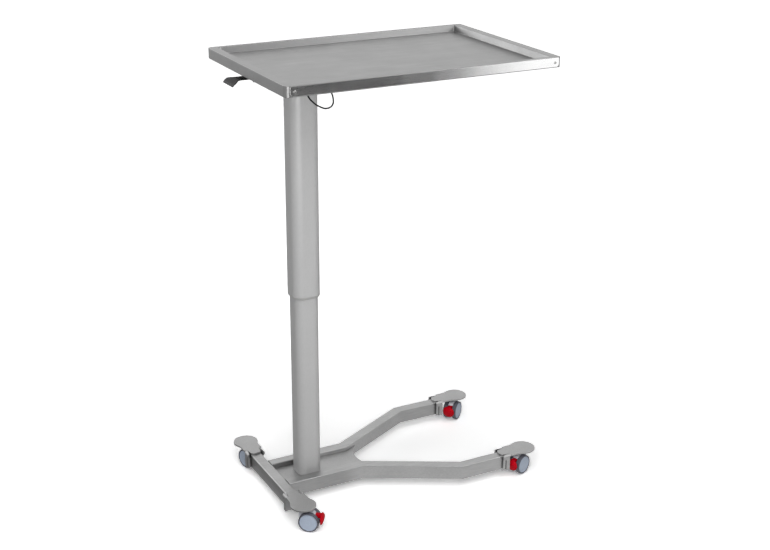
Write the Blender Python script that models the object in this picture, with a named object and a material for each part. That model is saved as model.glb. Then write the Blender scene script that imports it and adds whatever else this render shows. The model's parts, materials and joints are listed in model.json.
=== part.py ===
"""Instrument cart: a pan tray on a two-stage gas-lift column over a splayed base on twin-wheel casters.

Metres, +Z up. +X points from the column towards the open end of the base, and the floor is z = 0.
The lift is shown fully raised. Pieces are placed from the column's axis, and the whole cart is then
set so that the middle of its length lies on X = 0.
"""
import math

import bmesh
import bpy
from mathutils import Matrix, Vector

# Driving dimensions
GAP = 0.0003                  # clearance between pieces that touch
SLIDE_GAP = 0.0004            # clearance between pieces that slide or turn on each other

TRAY_LENGTH = 0.750
TRAY_WIDTH = 0.500            # over the edge strips
TRAY_TOP = 1.187              # lip height with the lift fully raised
TRAY_OVERHANG = 0.148         # from the column axis back to the tray's end
TRAY_CORNER = 0.012
TRAY_SHEET = 0.002
TRAY_DEPTH = 0.017            # lip to floor
RIM_HEIGHT = 0.027
END_LIP = 0.024
SIDE_LIP = 0.010
WALL_RUN = 0.005              # how far the inner wall leans in
LIP_ROUND = 0.0015

STRIP_SHEET = 0.0015
STRIP_REAR_INSET = 0.012      # from the tray's rear end to the strip's end
STRIP_FRONT_INSET = 0.006
STRIP_CORNER = 0.008
STRIP_LIFT = 0.001            # skirt that shows below the strip
SCREW_INSET = 0.0115          # from the strip's end
SCREW_SHANK_R = 0.0017
SCREW_SHANK = 0.006
SCREW_HEAD_R = 0.0034
SCREW_HEAD = 0.0018
SCREW_DOME = [(1.0, 0.45), (0.8, 0.8), (0.4, 1.0)]   # shares of the head's radius and height

UPPER_SIDE = 0.076            # square column stages with rounded corners
UPPER_CORNER = 0.025
UPPER_WALL = 0.003
LOWER_SIDE = 0.066
LOWER_CORNER = 0.021
LOWER_WALL = 0.003
STAGE_OVERLAP = 0.1251        # length of the stages inside each other with the lift raised
COLLAR_LIP = 0.006            # part of the guide collar that shows
COLLAR_TAPER = 0.0025
COLLAR_BAND = 0.002           # upright part of the lip
COLLAR_SLEEVE = 0.055
BUSH_CAP = 0.014
BUSH_SKIRT = 0.030
BUSH_SKIRT_WALL = 0.003
LIFT_STROKE = 0.380
END_PLAY = 0.023              # room left above the bush with the lift down

HEAD_LENGTH = 0.300
HEAD_WIDTH = 0.180
HEAD_BACK = 0.060             # head plate behind the column axis
HEAD_SHEET = 0.006
HEAD_CORNER = 0.015

CYLINDER_R = 0.014
CYLINDER_WALL = 0.002
CYLINDER_TOP = 0.542
GLAND = 0.010
ROD_R = 0.005
PISTON = 0.015
PISTON_DROP = 0.020           # piston below the gland
ROD_GRIP = 0.024              # length of the rod's end in the release head
RELEASE_R = 0.022
RELEASE_HEIGHT = 0.046

TUBE_HEIGHT = 0.040
TUBE_WIDTH = 0.030
TUBE_WALL = 0.002
TUBE_ROUND = 0.003
TUBE_TOP = 0.065
CROSS_X = -0.0997             # cross tube's centre behind the column axis
LEG_INNER_Y = 0.0596          # leg's centre beside the column
LEG_OUTER_Y = 0.189           # leg's centre at the caster
FIRST_BEND_X = 0.138
SECOND_BEND_X = 0.382
SWIVEL_X = 0.580              # front casters' swivel axis
REAR_SWIVEL_Y = 0.197         # rear casters' swivel axis from the centre line

PLATE_DROP = 0.013            # base plate below the tube tops
PLATE_SHEET = 0.006
PLATE_FRONT_X = 0.152         # front edge on the centre line
PLATE_HORN_X = 0.183          # front edge where it meets the legs
SCOOP_STEPS = 12

BRACKET_SHEET = 0.005
BRACKET_R = 0.034
BRACKET_FILLET = 0.030
BRACKET_STEPS = 20            # stretches round the nose
FILLET_STEPS = 4
TONGUE_REACH = 0.079          # swivel axis to the tongue's round end
TONGUE_CORNER_X = 0.0745      # swivel axis to the tongue's corners
TONGUE_CORNER_Y = 0.0143
TONGUE_STEPS = 4
NOTCH_X = 0.052               # swivel axis to the slits between tongue and ears
SLIT_Y = 0.018                # slits from the centre line
TUBE_REACH = 0.0615           # swivel axis to the tube's end
EAR_FRONT = 0.057             # swivel axis to the ears' front edges
EAR_BACK = 0.068
EAR_SHEET = 0.005
EAR_BEND = 0.003              # inner radius of the ear's bend
EAR_ROOT = 0.003              # ear's length inside the plate
BEND_STEPS = 4
BEAD_R = 0.0045               # upright bead between tube and ear
BEAD_BACK = 0.0715            # swivel axis to the beads
WEB_SHEET = 0.003             # face that closes the tube's end
PLUG_DEPTH = 0.025
BOSS_R = 0.014
BOSS_DEPTH = 0.003

WHEEL_R = 0.0275
TYRE_WIDTH = 0.012
TYRE_WALL = 0.004
TYRE_ROUND = 0.002
DISC_RECESS = 0.0008
DISC_RIM = 0.003              # width of the disc's raised rim
HUB_GAP = 0.0012              # side play between the wheels and the housing
HOUSING_WIDTH = 0.014
HOUSING_R = 0.024
HOUSING_ARC = (180, 300)      # cheek's round stretch, degrees about the axle
HOUSING_STEPS = 12
TRAIL = 0.017                 # axle from the swivel axis, towards the pedal
COLLAR_R = 0.011
STEM_R = 0.0052
STEM_REACH = 0.0020           # metal left above the stem in the bracket
AXLE_R = 0.003

PEDAL_PIVOT = (0.034, 0.042)  # from the swivel axis and above the floor
KNUCKLE_R = 0.005
PEDAL_FACE = 0.0475           # nearest that the pedal's shoe comes to the swivel axis
PEDAL_TIP = 0.0565
SHOE_WIDTH = 0.036
SHOE_HEIGHT = 0.034
SHOE_MIDDLE = 0.033           # shoe's middle above the floor
# Shoe's stations: share of its depth, share of its width and height
SHOE_STATIONS = [(0.0, 0.88), (0.2, 1.0), (0.5, 0.95), (0.8, 0.76), (1.0, 0.42)]
ARM_HEIGHT = 0.009            # pedal's arm between its pivot and its shoe
ARM_ROOT = 0.003              # arm's length inside the shoe

LEVER_Y = 0.030
LEVER_PIVOT_BACK = 0.110      # behind the column axis
LEVER_DROP = 0.038            # lever's pin below the tray's lip
LEVER_REACH = 0.068
LEVER_ARM_WIDTH = 0.032
LEVER_PAD_WIDTH = 0.066
LEVER_SHEET = 0.005
LEVER_THIN = 0.4              # share of its thickness that the paddle loses towards its tip
LEVER_HUB_R = 0.006
# Paddle's stations: share of the reach, height in sheet thicknesses, share of the pad's spread
LEVER_STATIONS = [
    (0.00, 0.0, 0.00),
    (0.30, 0.2, 0.00),
    (0.62, 0.2, 0.00),
    (0.72, 0.1, 0.25),
    (0.80, -0.2, 0.70),
    (0.88, -0.6, 1.00),
    (0.95, -1.3, 1.00),
    (1.00, -2.1, 1.00),
]
PIN_R = 0.003
YOKE_SHEET = 0.003
YOKE_FRONT = 0.035            # yoke ahead of the pin
YOKE_BACK = 0.010             # yoke behind the pin
YOKE_CHIN = 0.008             # cheek below the pin

CABLE_R = 0.002
FERRULE_R = 0.004
FERRULE_FLANGE_R = 0.006
FERRULE_FLANGE = 0.003
FERRULE_BODY = 0.012
FERRULE_SHANK_R = 0.0032
FERRULE_MOUTH_R = 0.0026
CABLE_STOP_AHEAD = 0.020      # lever's cable stop ahead of its pin
CABLE_INLET_X = -0.008        # cable's way into the column
CABLE_INLET_DROP = 0.052      # inlet below the tray's lip

# The cable's own points between its ferrules, from the column axis and the tray's lip
CABLE_ROUTE = [
    (-0.088, -0.032, -0.040),
    (-0.071, -0.056, -0.040),
    (-0.040, -0.066, -0.039),
    (0.000, -0.069, -0.039),
    (0.028, -0.072, -0.046),
    (0.044, -0.078, -0.063),
    (0.050, -0.084, -0.083),
    (0.045, -0.090, -0.098),
    (0.030, -0.092, -0.104),
    (0.011, -0.092, -0.098),
    (-0.007, -0.090, -0.085),
    (-0.017, -0.083, -0.069),
]
CABLE_STEP = 0.010            # also the straight run out of each ferrule
CURVE_SHARES = 20             # points worked out between two points of a route

# Caster headings at rest: the way each brake pedal points, in degrees from +X
CASTER_HEADINGS = {"rear_right": -38.0, "rear_left": -73.0, "front_right": -158.0, "front_left": -142.0}

ROUND_STEPS = 24
SMALL_STEPS = 12
CORNER_STEPS = 5
EDGE_STEPS = 3

# Heights and places that follow
SKIRT_Y = TRAY_WIDTH / 2 - STRIP_SHEET - GAP
FLOOR_Z = TRAY_TOP - TRAY_DEPTH
PAN_UNDER = FLOOR_Z - TRAY_SHEET
HEAD_TOP = PAN_UNDER - GAP
HEAD_UNDER = HEAD_TOP - HEAD_SHEET
UPPER_TOP = HEAD_UNDER - GAP
UPPER_BORE = UPPER_SIDE - 2 * UPPER_WALL
UPPER_BORE_CORNER = UPPER_CORNER - UPPER_WALL
LOWER_BORE = LOWER_SIDE - 2 * LOWER_WALL
LOWER_BORE_CORNER = LOWER_CORNER - LOWER_WALL
PLATE_TOP = TUBE_TOP - PLATE_DROP
RELEASE_TOP = HEAD_UNDER - GAP
RELEASE_UNDER = RELEASE_TOP - RELEASE_HEIGHT
ROD_TOP = RELEASE_UNDER + ROD_GRIP
LOWER_TOP = RELEASE_UNDER - LIFT_STROKE - END_PLAY - BUSH_CAP - GAP
UPPER_FOOT = LOWER_TOP - STAGE_OVERLAP
PISTON_TOP = CYLINDER_TOP - PISTON_DROP
TUBE_UNDER = TUBE_TOP - TUBE_HEIGHT
BRACKET_UNDER = TUBE_TOP + GAP
BRACKET_TOP = BRACKET_UNDER + BRACKET_SHEET
EAR_INNER_Y = SLIT_Y + EAR_BEND
EAR_OUTER_Y = EAR_INNER_Y + EAR_SHEET
BOSS_UNDER = BRACKET_UNDER - BOSS_DEPTH
STEM_TOP = BRACKET_TOP - STEM_REACH - GAP
LEVER_Z = TRAY_TOP - LEVER_DROP
LEVER_X = -LEVER_PIVOT_BACK
YOKE_INNER_Y = LEVER_ARM_WIDTH / 2 + SLIDE_GAP
YOKE_OUTER_Y = YOKE_INNER_Y + YOKE_SHEET
WHEEL_INNER_Y = HOUSING_WIDTH / 2 + HUB_GAP


def make_material(name, colour, roughness, metallic):
    """A plain Principled material."""
    material = bpy.data.materials.new(name)
    material.use_nodes = True
    shader = material.node_tree.nodes["Principled BSDF"]
    shader.inputs["Base Color"].default_value = (*colour, 1.0)
    shader.inputs["Roughness"].default_value = roughness
    shader.inputs["Metallic"].default_value = metallic
    return material


def rounded_rect(low, high, radius, steps=CORNER_STEPS):
    """Corner points, counter-clockwise, of a rectangle with round corners in a plane."""
    centres = [
        (high[0] - radius, high[1] - radius, 0),
        (low[0] + radius, high[1] - radius, 90),
        (low[0] + radius, low[1] + radius, 180),
        (high[0] - radius, low[1] + radius, 270),
    ]
    points = []
    for x, y, start in centres:
        points += arc((x, y), radius, start, start + 90, steps)
    return points


def rounded_square(side, radius, steps=CORNER_STEPS):
    """A rounded square about the origin."""
    return rounded_rect((-side / 2, -side / 2), (side / 2, side / 2), radius, steps)


def arc(centre, radius, start, end, steps):
    """Points along an arc, in degrees, with both ends."""
    angles = [math.radians(start + (end - start) * i / steps) for i in range(steps + 1)]
    return [(centre[0] + radius * math.cos(a), centre[1] + radius * math.sin(a)) for a in angles]


def at_height(points, z):
    """Lift plane points to a height."""
    return [Vector((x, y, z)) for x, y in points]


def ring_body(rings, closed=False):
    """A body skinned over rings of equal count: capped at both ends, or closed back on its first ring."""
    bm = bmesh.new()
    loops = [[bm.verts.new(point) for point in ring] for ring in rings]
    pairs = list(zip(loops, loops[1:]))
    if closed:
        pairs.append((loops[-1], loops[0]))
    else:
        bm.faces.new(loops[0])
        bm.faces.new(loops[-1])
    for first, second in pairs:
        count = len(first)
        for i in range(count):
            j = (i + 1) % count
            bm.faces.new((first[i], first[j], second[j], second[i]))
    bmesh.ops.recalc_face_normals(bm, faces=bm.faces)
    return bm


def prism(points, low, high):
    """An outline in the XY plane, extruded from one height to another."""
    return ring_body([at_height(points, low), at_height(points, high)])


def turned(profile, steps=ROUND_STEPS, closed=False):
    """A body turned about Z from (radius, height) points."""
    rings = [at_height(arc((0, 0), radius, 0, 360 - 360 / steps, steps - 1), z) for radius, z in profile]
    return ring_body(rings, closed)


def moved(bm, *matrices):
    """Apply matrices to a bmesh, first to last."""
    for matrix in matrices:
        bmesh.ops.transform(bm, matrix=matrix, verts=bm.verts)
    return bm


ALONG_Y = Matrix.Rotation(math.radians(-90), 4, "X")      # local +Z to +Y
UPRIGHT = Matrix.Rotation(math.radians(90), 4, "X")       # local XY to XZ, local +Z to -Y
ALONG_X = Matrix(((0, 0, 1, 0), (1, 0, 0, 0), (0, 1, 0, 0), (0, 0, 0, 1)))   # local XY to YZ, +Z to +X


def to_mesh(name, bm):
    """Turn a bmesh into a named mesh."""
    mesh = bpy.data.meshes.new(name)
    bm.to_mesh(mesh)
    bm.free()
    return mesh


def combined(name, bm, *operations):
    """Boolean each (operation, bmesh) into the first body and return the finished mesh."""
    scene = bpy.context.scene.collection
    body = bpy.data.objects.new(name, to_mesh(name, bm))
    scene.objects.link(body)
    tools = []
    for operation, tool_bm in operations:
        tool = bpy.data.objects.new(name + "_tool", to_mesh(name + "_tool", tool_bm))
        scene.objects.link(tool)
        tools.append(tool)
        modifier = body.modifiers.new(operation, "BOOLEAN")
        modifier.operation = operation
        modifier.object = tool
        modifier.solver = "EXACT"
    depsgraph = bpy.context.evaluated_depsgraph_get()
    mesh = bpy.data.meshes.new_from_object(body.evaluated_get(depsgraph))
    mesh.name = name
    for item in [body, *tools]:
        bpy.data.objects.remove(item)
    return mesh


def place(name, shape, material, parent, location=(0, 0, 0), rotation=(0, 0, 0)):
    """Make a node from a mesh or a bmesh, on its parent."""
    mesh = shape if isinstance(shape, bpy.types.Mesh) else to_mesh(name, shape)
    mesh.materials.clear()
    mesh.materials.append(material)
    mesh.shade_smooth()
    mesh.set_sharp_from_angle(angle=math.radians(30))
    node = bpy.data.objects.new(name, mesh)
    node.parent = parent
    node.location = location
    node.rotation_euler = rotation
    bpy.context.scene.collection.objects.link(node)
    return node


def make_empty(name, parent=None, location=(0, 0, 0), heading=0.0):
    """A carrier for a moving group, on its axis."""
    empty = bpy.data.objects.new(name, None)
    empty.parent = parent
    empty.location = location
    empty.rotation_euler = (0, 0, math.radians(heading))
    bpy.context.scene.collection.objects.link(empty)
    return empty


def offset_path(path, distance):
    """A plane path moved sideways, with mitred bends; a positive distance is to the left."""
    normals = []
    for (x0, y0), (x1, y1) in zip(path, path[1:]):
        run = math.hypot(x1 - x0, y1 - y0)
        normals.append(Vector(((y0 - y1) / run, (x1 - x0) / run)))
    points = []
    for i, point in enumerate(path):
        before = normals[max(i - 1, 0)]
        after = normals[min(i, len(normals) - 1)]
        mitre = (before + after) / (1 + before.dot(after))
        points.append(Vector(point) + mitre * distance)
    return points


def tube_body(path):
    """A rectangular tube along a plane path, open at both ends, with round long edges."""
    def rings(inset, radius):
        half = TUBE_WIDTH / 2 - inset
        section = rounded_rect((-half, TUBE_UNDER + inset), (half, TUBE_TOP - inset), radius, EDGE_STEPS)
        tracks = [offset_path(path, side) for side, _ in section]
        return [
            [Vector((*track[i], z)) for track, (_, z) in zip(tracks, section)]
            for i in range(len(path))
        ]

    outer = rings(0, TUBE_ROUND)
    inner = rings(TUBE_WALL, TUBE_ROUND - TUBE_WALL)
    return ring_body(outer + inner[::-1], closed=True)


def leg_path(side):
    """Centre line of a leg, from the cross tube to its caster bracket."""
    start = CROSS_X + TUBE_WIDTH / 2 + GAP
    return [
        (start, side * LEG_INNER_Y),
        (FIRST_BEND_X, side * LEG_INNER_Y),
        (SECOND_BEND_X, side * LEG_OUTER_Y),
        (SWIVEL_X - TUBE_REACH, side * LEG_OUTER_Y),
    ]


def base_plate_body():
    """The plate between the legs, with a scooped front edge."""
    edge = offset_path(leg_path(-1), TUBE_WIDTH / 2 + GAP)
    start, bend, far = edge[0], edge[1], edge[2]
    share = (PLATE_HORN_X - bend.x) / (far.x - bend.x)
    horn = bend.lerp(far, share)
    scoop = PLATE_HORN_X - PLATE_FRONT_X
    radius = (horn.y ** 2 + scoop ** 2) / (2 * scoop)
    sweep = math.degrees(math.asin(-horn.y / radius))
    front = arc((PLATE_FRONT_X + radius, 0), radius, 180 + sweep, 180 - sweep, SCOOP_STEPS)
    outline = [tuple(start), tuple(bend), *front, (bend.x, -bend.y), (start.x, -start.y)]
    return prism(outline, PLATE_TOP - PLATE_SHEET, PLATE_TOP)


def bracket_outline():
    """Plan of a caster bracket's plate: round nose, fillets, and a tongue between two notches."""
    fillet_y = EAR_OUTER_Y + BRACKET_FILLET
    fillet_x = -math.sqrt((BRACKET_R + BRACKET_FILLET) ** 2 - fillet_y ** 2)
    turn = math.degrees(math.atan2(fillet_y, -fillet_x))
    bulge = TONGUE_REACH - TONGUE_CORNER_X
    radius = (TONGUE_CORNER_Y ** 2 + bulge ** 2) / (2 * bulge)
    sweep = math.degrees(math.asin(TONGUE_CORNER_Y / radius))
    half = [
        *arc((radius - TONGUE_REACH, 0), radius, 180, 180 + sweep, TONGUE_STEPS),
        (-NOTCH_X, -SLIT_Y),
        (-NOTCH_X, -EAR_OUTER_Y),
        *arc((fillet_x, -fillet_y), BRACKET_FILLET, 90, turn, FILLET_STEPS),
    ]
    nose = arc((0, 0), BRACKET_R, turn - 180, 180 - turn, BRACKET_STEPS)
    return half + nose[1:-1] + [(x, -y) for x, y in reversed(half[1:])]


def ear_body(side):
    """One ear, bent down from the plate beside the tube."""
    centre = (SLIT_Y, BRACKET_TOP - EAR_BEND - EAR_SHEET)
    outline = [
        (EAR_INNER_Y, TUBE_UNDER),
        (EAR_OUTER_Y, TUBE_UNDER),
        *arc(centre, EAR_BEND + EAR_SHEET, 0, 90, BEND_STEPS),
        *arc(centre, EAR_BEND, 90, 0, BEND_STEPS),
    ]
    outline = [(side * y, z) for y, z in outline]
    return moved(prism(outline, -EAR_BACK, -NOTCH_X + EAR_ROOT), ALONG_X)


def ear_room(side):
    """A cutter that clears what one ear leaves ahead of its front edge, below the plate."""
    near, far = -EAR_FRONT, -NOTCH_X + 2 * EAR_ROOT
    low, high = sorted((side * (SLIT_Y - GAP), side * (EAR_OUTER_Y + GAP)))
    outline = [(near, low), (far, low), (far, high), (near, high)]
    return prism(outline, TUBE_UNDER - GAP, BRACKET_UNDER)


def bracket_mesh():
    """Caster bracket about its swivel axis, reaching along -X over the tube's end."""
    plate = prism(bracket_outline(), BRACKET_UNDER, BRACKET_TOP)
    middle = BRACKET_UNDER + BRACKET_SHEET / 2
    parts = []
    for side in (-1, 1):
        parts.append(("UNION", ear_body(side)))
        parts.append(("DIFFERENCE", ear_room(side)))
        bead = turned([(BEAD_R, TUBE_UNDER + GAP), (BEAD_R, TUBE_TOP)], SMALL_STEPS)
        spot = (-BEAD_BACK, side * (TUBE_WIDTH / 2 + GAP + BEAD_R), 0)
        parts.append(("UNION", moved(bead, Matrix.Translation(spot))))

    plug_y = TUBE_WIDTH / 2 - TUBE_WALL - GAP
    inner = TUBE_WALL + GAP
    plug = rounded_rect((-plug_y, TUBE_UNDER + inner), (plug_y, TUBE_TOP - inner), TUBE_ROUND, 1)
    web_y = EAR_INNER_Y + EAR_SHEET / 2
    web = rounded_rect((-web_y, TUBE_UNDER + GAP), (web_y, middle), TUBE_ROUND, 1)
    face_x = -TUBE_REACH + GAP
    parts.append(("UNION", moved(prism(web, face_x, face_x + WEB_SHEET), ALONG_X)))
    parts.append(("UNION", moved(prism(plug, face_x - PLUG_DEPTH, face_x + WEB_SHEET / 2), ALONG_X)))

    boss = turned([(BOSS_R, BOSS_UNDER), (BOSS_R, middle)], ROUND_STEPS)
    parts.append(("UNION", boss))
    socket_r = STEM_R + SLIDE_GAP
    socket = turned([(socket_r, BOSS_UNDER - GAP), (socket_r, STEM_TOP + GAP)], SMALL_STEPS)
    parts.append(("DIFFERENCE", socket))
    return combined("caster_bracket", plate, *parts)


def tyre_body():
    """Wheel tread about its axle, from the housing side outwards along +Z."""
    inner = WHEEL_R - TYRE_WALL
    return turned([
        (inner, 0),
        (WHEEL_R - TYRE_ROUND, 0),
        (WHEEL_R, TYRE_ROUND),
        (WHEEL_R, TYRE_WIDTH - TYRE_ROUND),
        (WHEEL_R - TYRE_ROUND, TYRE_WIDTH),
        (inner, TYRE_WIDTH),
    ], closed=True)


def disc_body():
    """Wheel centre inside the tread, with a bore for the axle."""
    outer = WHEEL_R - TYRE_WALL - GAP
    face = TYRE_WIDTH - DISC_RECESS
    bore = AXLE_R + SLIDE_GAP
    return turned([
        (bore, 0),
        (outer, 0),
        (outer, face),
        (outer - DISC_RIM, face),
        (outer - DISC_RIM - DISC_RECESS, face - DISC_RECESS),
        (bore, face - DISC_RECESS),
    ], closed=True)


def housing_mesh():
    """Caster body between the wheels, with its swivel collar and stem."""
    pivot_x, pivot_z = PEDAL_PIVOT
    top = 2 * WHEEL_R + HUB_GAP
    seat_r = KNUCKLE_R + SLIDE_GAP
    outline = [
        (-COLLAR_R, top),
        (-COLLAR_R, WHEEL_R),
        *arc((TRAIL, WHEEL_R), HOUSING_R, *HOUSING_ARC, HOUSING_STEPS),
        (pivot_x - KNUCKLE_R, pivot_z - 2 * seat_r),
        (pivot_x, pivot_z - seat_r / 2),
        (pivot_x, pivot_z + seat_r / 2),
        (pivot_x - seat_r, pivot_z + 2 * seat_r),
        (TRAIL, top - HUB_GAP),
        (COLLAR_R, top),
    ]
    half = HOUSING_WIDTH / 2
    body = moved(prism(outline, -half, half), UPRIGHT)
    collar_top = BOSS_UNDER - SLIDE_GAP
    collar = turned([
        (COLLAR_R, top - HUB_GAP / 2),
        (COLLAR_R, collar_top),
        (STEM_R, collar_top),
        (STEM_R, STEM_TOP),
    ])
    seat = moved(
        turned([(seat_r, -HOUSING_WIDTH), (seat_r, HOUSING_WIDTH)], SMALL_STEPS),
        ALONG_Y,
        Matrix.Translation((pivot_x, 0, pivot_z)),
    )
    axle_r = AXLE_R + GAP
    axle_way = moved(
        turned([(axle_r, -HOUSING_WIDTH), (axle_r, HOUSING_WIDTH)], SMALL_STEPS),
        ALONG_Y,
        Matrix.Translation((TRAIL, 0, WHEEL_R)),
    )
    return combined(
        "caster_housing", body, ("UNION", collar), ("DIFFERENCE", seat), ("DIFFERENCE", axle_way)
    )


def pedal_mesh():
    """Brake pedal about its own pivot: an arm between the wheels and a domed oval shoe before them."""
    pivot_x, pivot_z = PEDAL_PIVOT
    face = PEDAL_FACE - pivot_x
    tip = PEDAL_TIP - pivot_x
    middle = SHOE_MIDDLE - pivot_z
    rings = []
    for depth, share in SHOE_STATIONS:
        x = face + depth * (tip - face)
        unit = arc((0, 0), share / 2, 0, 360 - 360 / ROUND_STEPS, ROUND_STEPS - 1)
        rings.append([Vector((x, SHOE_WIDTH * y, middle + SHOE_HEIGHT * z)) for y, z in unit])
    shoe = ring_body(rings)
    root = ARM_HEIGHT / 2
    reach = face + ARM_ROOT
    side = [(0, -root), (reach, -root), (reach, root), (0, root)]
    arm_half = HOUSING_WIDTH / 2 - GAP
    arm = moved(prism(side, -arm_half, arm_half), UPRIGHT)
    knuckle_half = arm_half - GAP
    knuckle = moved(turned([(KNUCKLE_R, -knuckle_half), (KNUCKLE_R, knuckle_half)], SMALL_STEPS), ALONG_Y)
    return combined("brake_pedal", shoe, ("UNION", arm), ("UNION", knuckle))


def pan_mesh():
    """The tray: floor, leaning walls, lip and skirt, with holes for the strips' screws."""
    low = Vector((-TRAY_OVERHANG, -SKIRT_Y))
    high = Vector((TRAY_LENGTH - TRAY_OVERHANG, SKIRT_Y))

    def ring(end, side, radius, z):
        inset = Vector((end, side))
        return at_height(rounded_rect(low + inset, high - inset, radius), z)

    wall_end = END_LIP + WALL_RUN
    wall_side = SIDE_LIP + WALL_RUN
    inner_corner = TRAY_CORNER - LIP_ROUND
    rings = [
        ring(wall_end, wall_side, inner_corner, FLOOR_Z),
        ring(END_LIP, SIDE_LIP, inner_corner, TRAY_TOP),
        ring(LIP_ROUND, LIP_ROUND, inner_corner, TRAY_TOP),
        ring(0, 0, TRAY_CORNER, TRAY_TOP - LIP_ROUND),
        ring(0, 0, TRAY_CORNER, TRAY_TOP - RIM_HEIGHT),
        ring(TRAY_SHEET, TRAY_SHEET, inner_corner, TRAY_TOP - RIM_HEIGHT),
        ring(TRAY_SHEET, TRAY_SHEET, inner_corner, TRAY_TOP - TRAY_SHEET),
        ring(END_LIP - TRAY_SHEET, SIDE_LIP - TRAY_SHEET, inner_corner, TRAY_TOP - TRAY_SHEET),
        ring(wall_end - TRAY_SHEET, wall_side - TRAY_SHEET, inner_corner, PAN_UNDER),
    ]
    holes = [("DIFFERENCE", screw_hole(x, side)) for side in (-1, 1) for x in screw_places()]
    return combined("tray_pan", ring_body(rings), *holes)


def strip_span():
    """The strips' ends along X and their lower and upper edges."""
    return (
        -TRAY_OVERHANG + STRIP_REAR_INSET,
        TRAY_LENGTH - TRAY_OVERHANG - STRIP_FRONT_INSET,
        TRAY_TOP - RIM_HEIGHT + STRIP_LIFT,
        TRAY_TOP - LIP_ROUND,
    )


def screw_places():
    """Where the strips' screws stand along X."""
    start, end, _, _ = strip_span()
    return start + SCREW_INSET, end - SCREW_INSET


def screw_height():
    """Half way up the strips."""
    _, _, low, high = strip_span()
    return (low + high) / 2


def screw_hole(x, side):
    """A cutter for one screw's hole through strip and skirt."""
    radius = SCREW_SHANK_R + GAP
    reach = SCREW_SHANK + TRAY_SHEET
    cutter = turned([(radius, -reach), (radius, reach)], SMALL_STEPS)
    return moved(cutter, ALONG_Y, Matrix.Translation((x, side * TRAY_WIDTH / 2, screw_height())))


def strip_mesh(name, side):
    """A flat strip along one long side of the tray, with round lower corners."""
    start, end, low, high = strip_span()
    top_round = STRIP_CORNER / 3
    outline = [
        *arc((end - STRIP_CORNER, low + STRIP_CORNER), STRIP_CORNER, 270, 360, CORNER_STEPS),
        *arc((end - top_round, high - top_round), top_round, 0, 90, EDGE_STEPS),
        *arc((start + top_round, high - top_round), top_round, 90, 180, EDGE_STEPS),
        *arc((start + STRIP_CORNER, low + STRIP_CORNER), STRIP_CORNER, 180, 270, CORNER_STEPS),
    ]
    faces = sorted((-side * TRAY_WIDTH / 2, -side * (TRAY_WIDTH / 2 - STRIP_SHEET)))
    body = moved(prism(outline, *faces), UPRIGHT)
    holes = [("DIFFERENCE", screw_hole(x, side)) for x in screw_places()]
    return combined(name, body, *holes)


def screw_body():
    """A domed screw, head along +Z, seated at z = 0."""
    return turned([
        (SCREW_SHANK_R, -SCREW_SHANK),
        (SCREW_SHANK_R, GAP),
        (SCREW_HEAD_R, GAP),
        *[(SCREW_HEAD_R * across, SCREW_HEAD * up) for across, up in SCREW_DOME],
    ], SMALL_STEPS)


def lever_mesh():
    """Release paddle about its pin, reaching along -X and curling down at its tip."""
    arm = LEVER_ARM_WIDTH / 2
    pad = LEVER_PAD_WIDTH / 2
    rings = []
    for share, rise, spread in LEVER_STATIONS:
        half = arm + spread * (pad - arm)
        z = rise * LEVER_SHEET
        thick = LEVER_SHEET * (1 - LEVER_THIN * share) / 2
        section = rounded_rect((-half, z - thick), (half, z + thick), thick / 2, 2)
        rings.append([Vector((-share * LEVER_REACH, y, height)) for y, height in section])
    blade = ring_body(rings)
    hub = moved(turned([(LEVER_HUB_R, -arm), (LEVER_HUB_R, arm)], SMALL_STEPS), ALONG_Y)
    bore_r = PIN_R + SLIDE_GAP
    bore = moved(turned([(bore_r, -2 * arm), (bore_r, 2 * arm)], SMALL_STEPS), ALONG_Y)
    return combined("release_lever", blade, ("UNION", hub), ("DIFFERENCE", bore))


def yoke_mesh():
    """Lever bracket: two cheeks under a top plate, about the lever's pin."""
    top = PAN_UNDER - GAP - LEVER_Z
    outline = [
        (-YOKE_OUTER_Y, -YOKE_CHIN),
        (-YOKE_INNER_Y, -YOKE_CHIN),
        (-YOKE_INNER_Y, top - YOKE_SHEET),
        (YOKE_INNER_Y, top - YOKE_SHEET),
        (YOKE_INNER_Y, -YOKE_CHIN),
        (YOKE_OUTER_Y, -YOKE_CHIN),
        (YOKE_OUTER_Y, top),
        (-YOKE_OUTER_Y, top),
    ]
    body = moved(prism(outline, -YOKE_BACK, YOKE_FRONT), ALONG_X)
    hole_r = PIN_R + GAP
    reach = 2 * YOKE_OUTER_Y
    hole = moved(turned([(hole_r, -reach), (hole_r, reach)], SMALL_STEPS), ALONG_Y)
    return combined("lever_bracket", body, ("DIFFERENCE", hole))


def ferrule_body(shank):
    """Cable end: a shank behind z = 0, a flange on it and a tapered sleeve along +Z."""
    profile = [
        (FERRULE_FLANGE_R, 0),
        (FERRULE_FLANGE_R, FERRULE_FLANGE),
        (FERRULE_R, FERRULE_FLANGE),
        (FERRULE_R, FERRULE_FLANGE + FERRULE_BODY / 2),
        (FERRULE_MOUTH_R, FERRULE_FLANGE + FERRULE_BODY),
    ]
    if shank:
        profile = [(FERRULE_SHANK_R, -shank), (FERRULE_SHANK_R, 0), *profile]
    return turned(profile, SMALL_STEPS)


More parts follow.
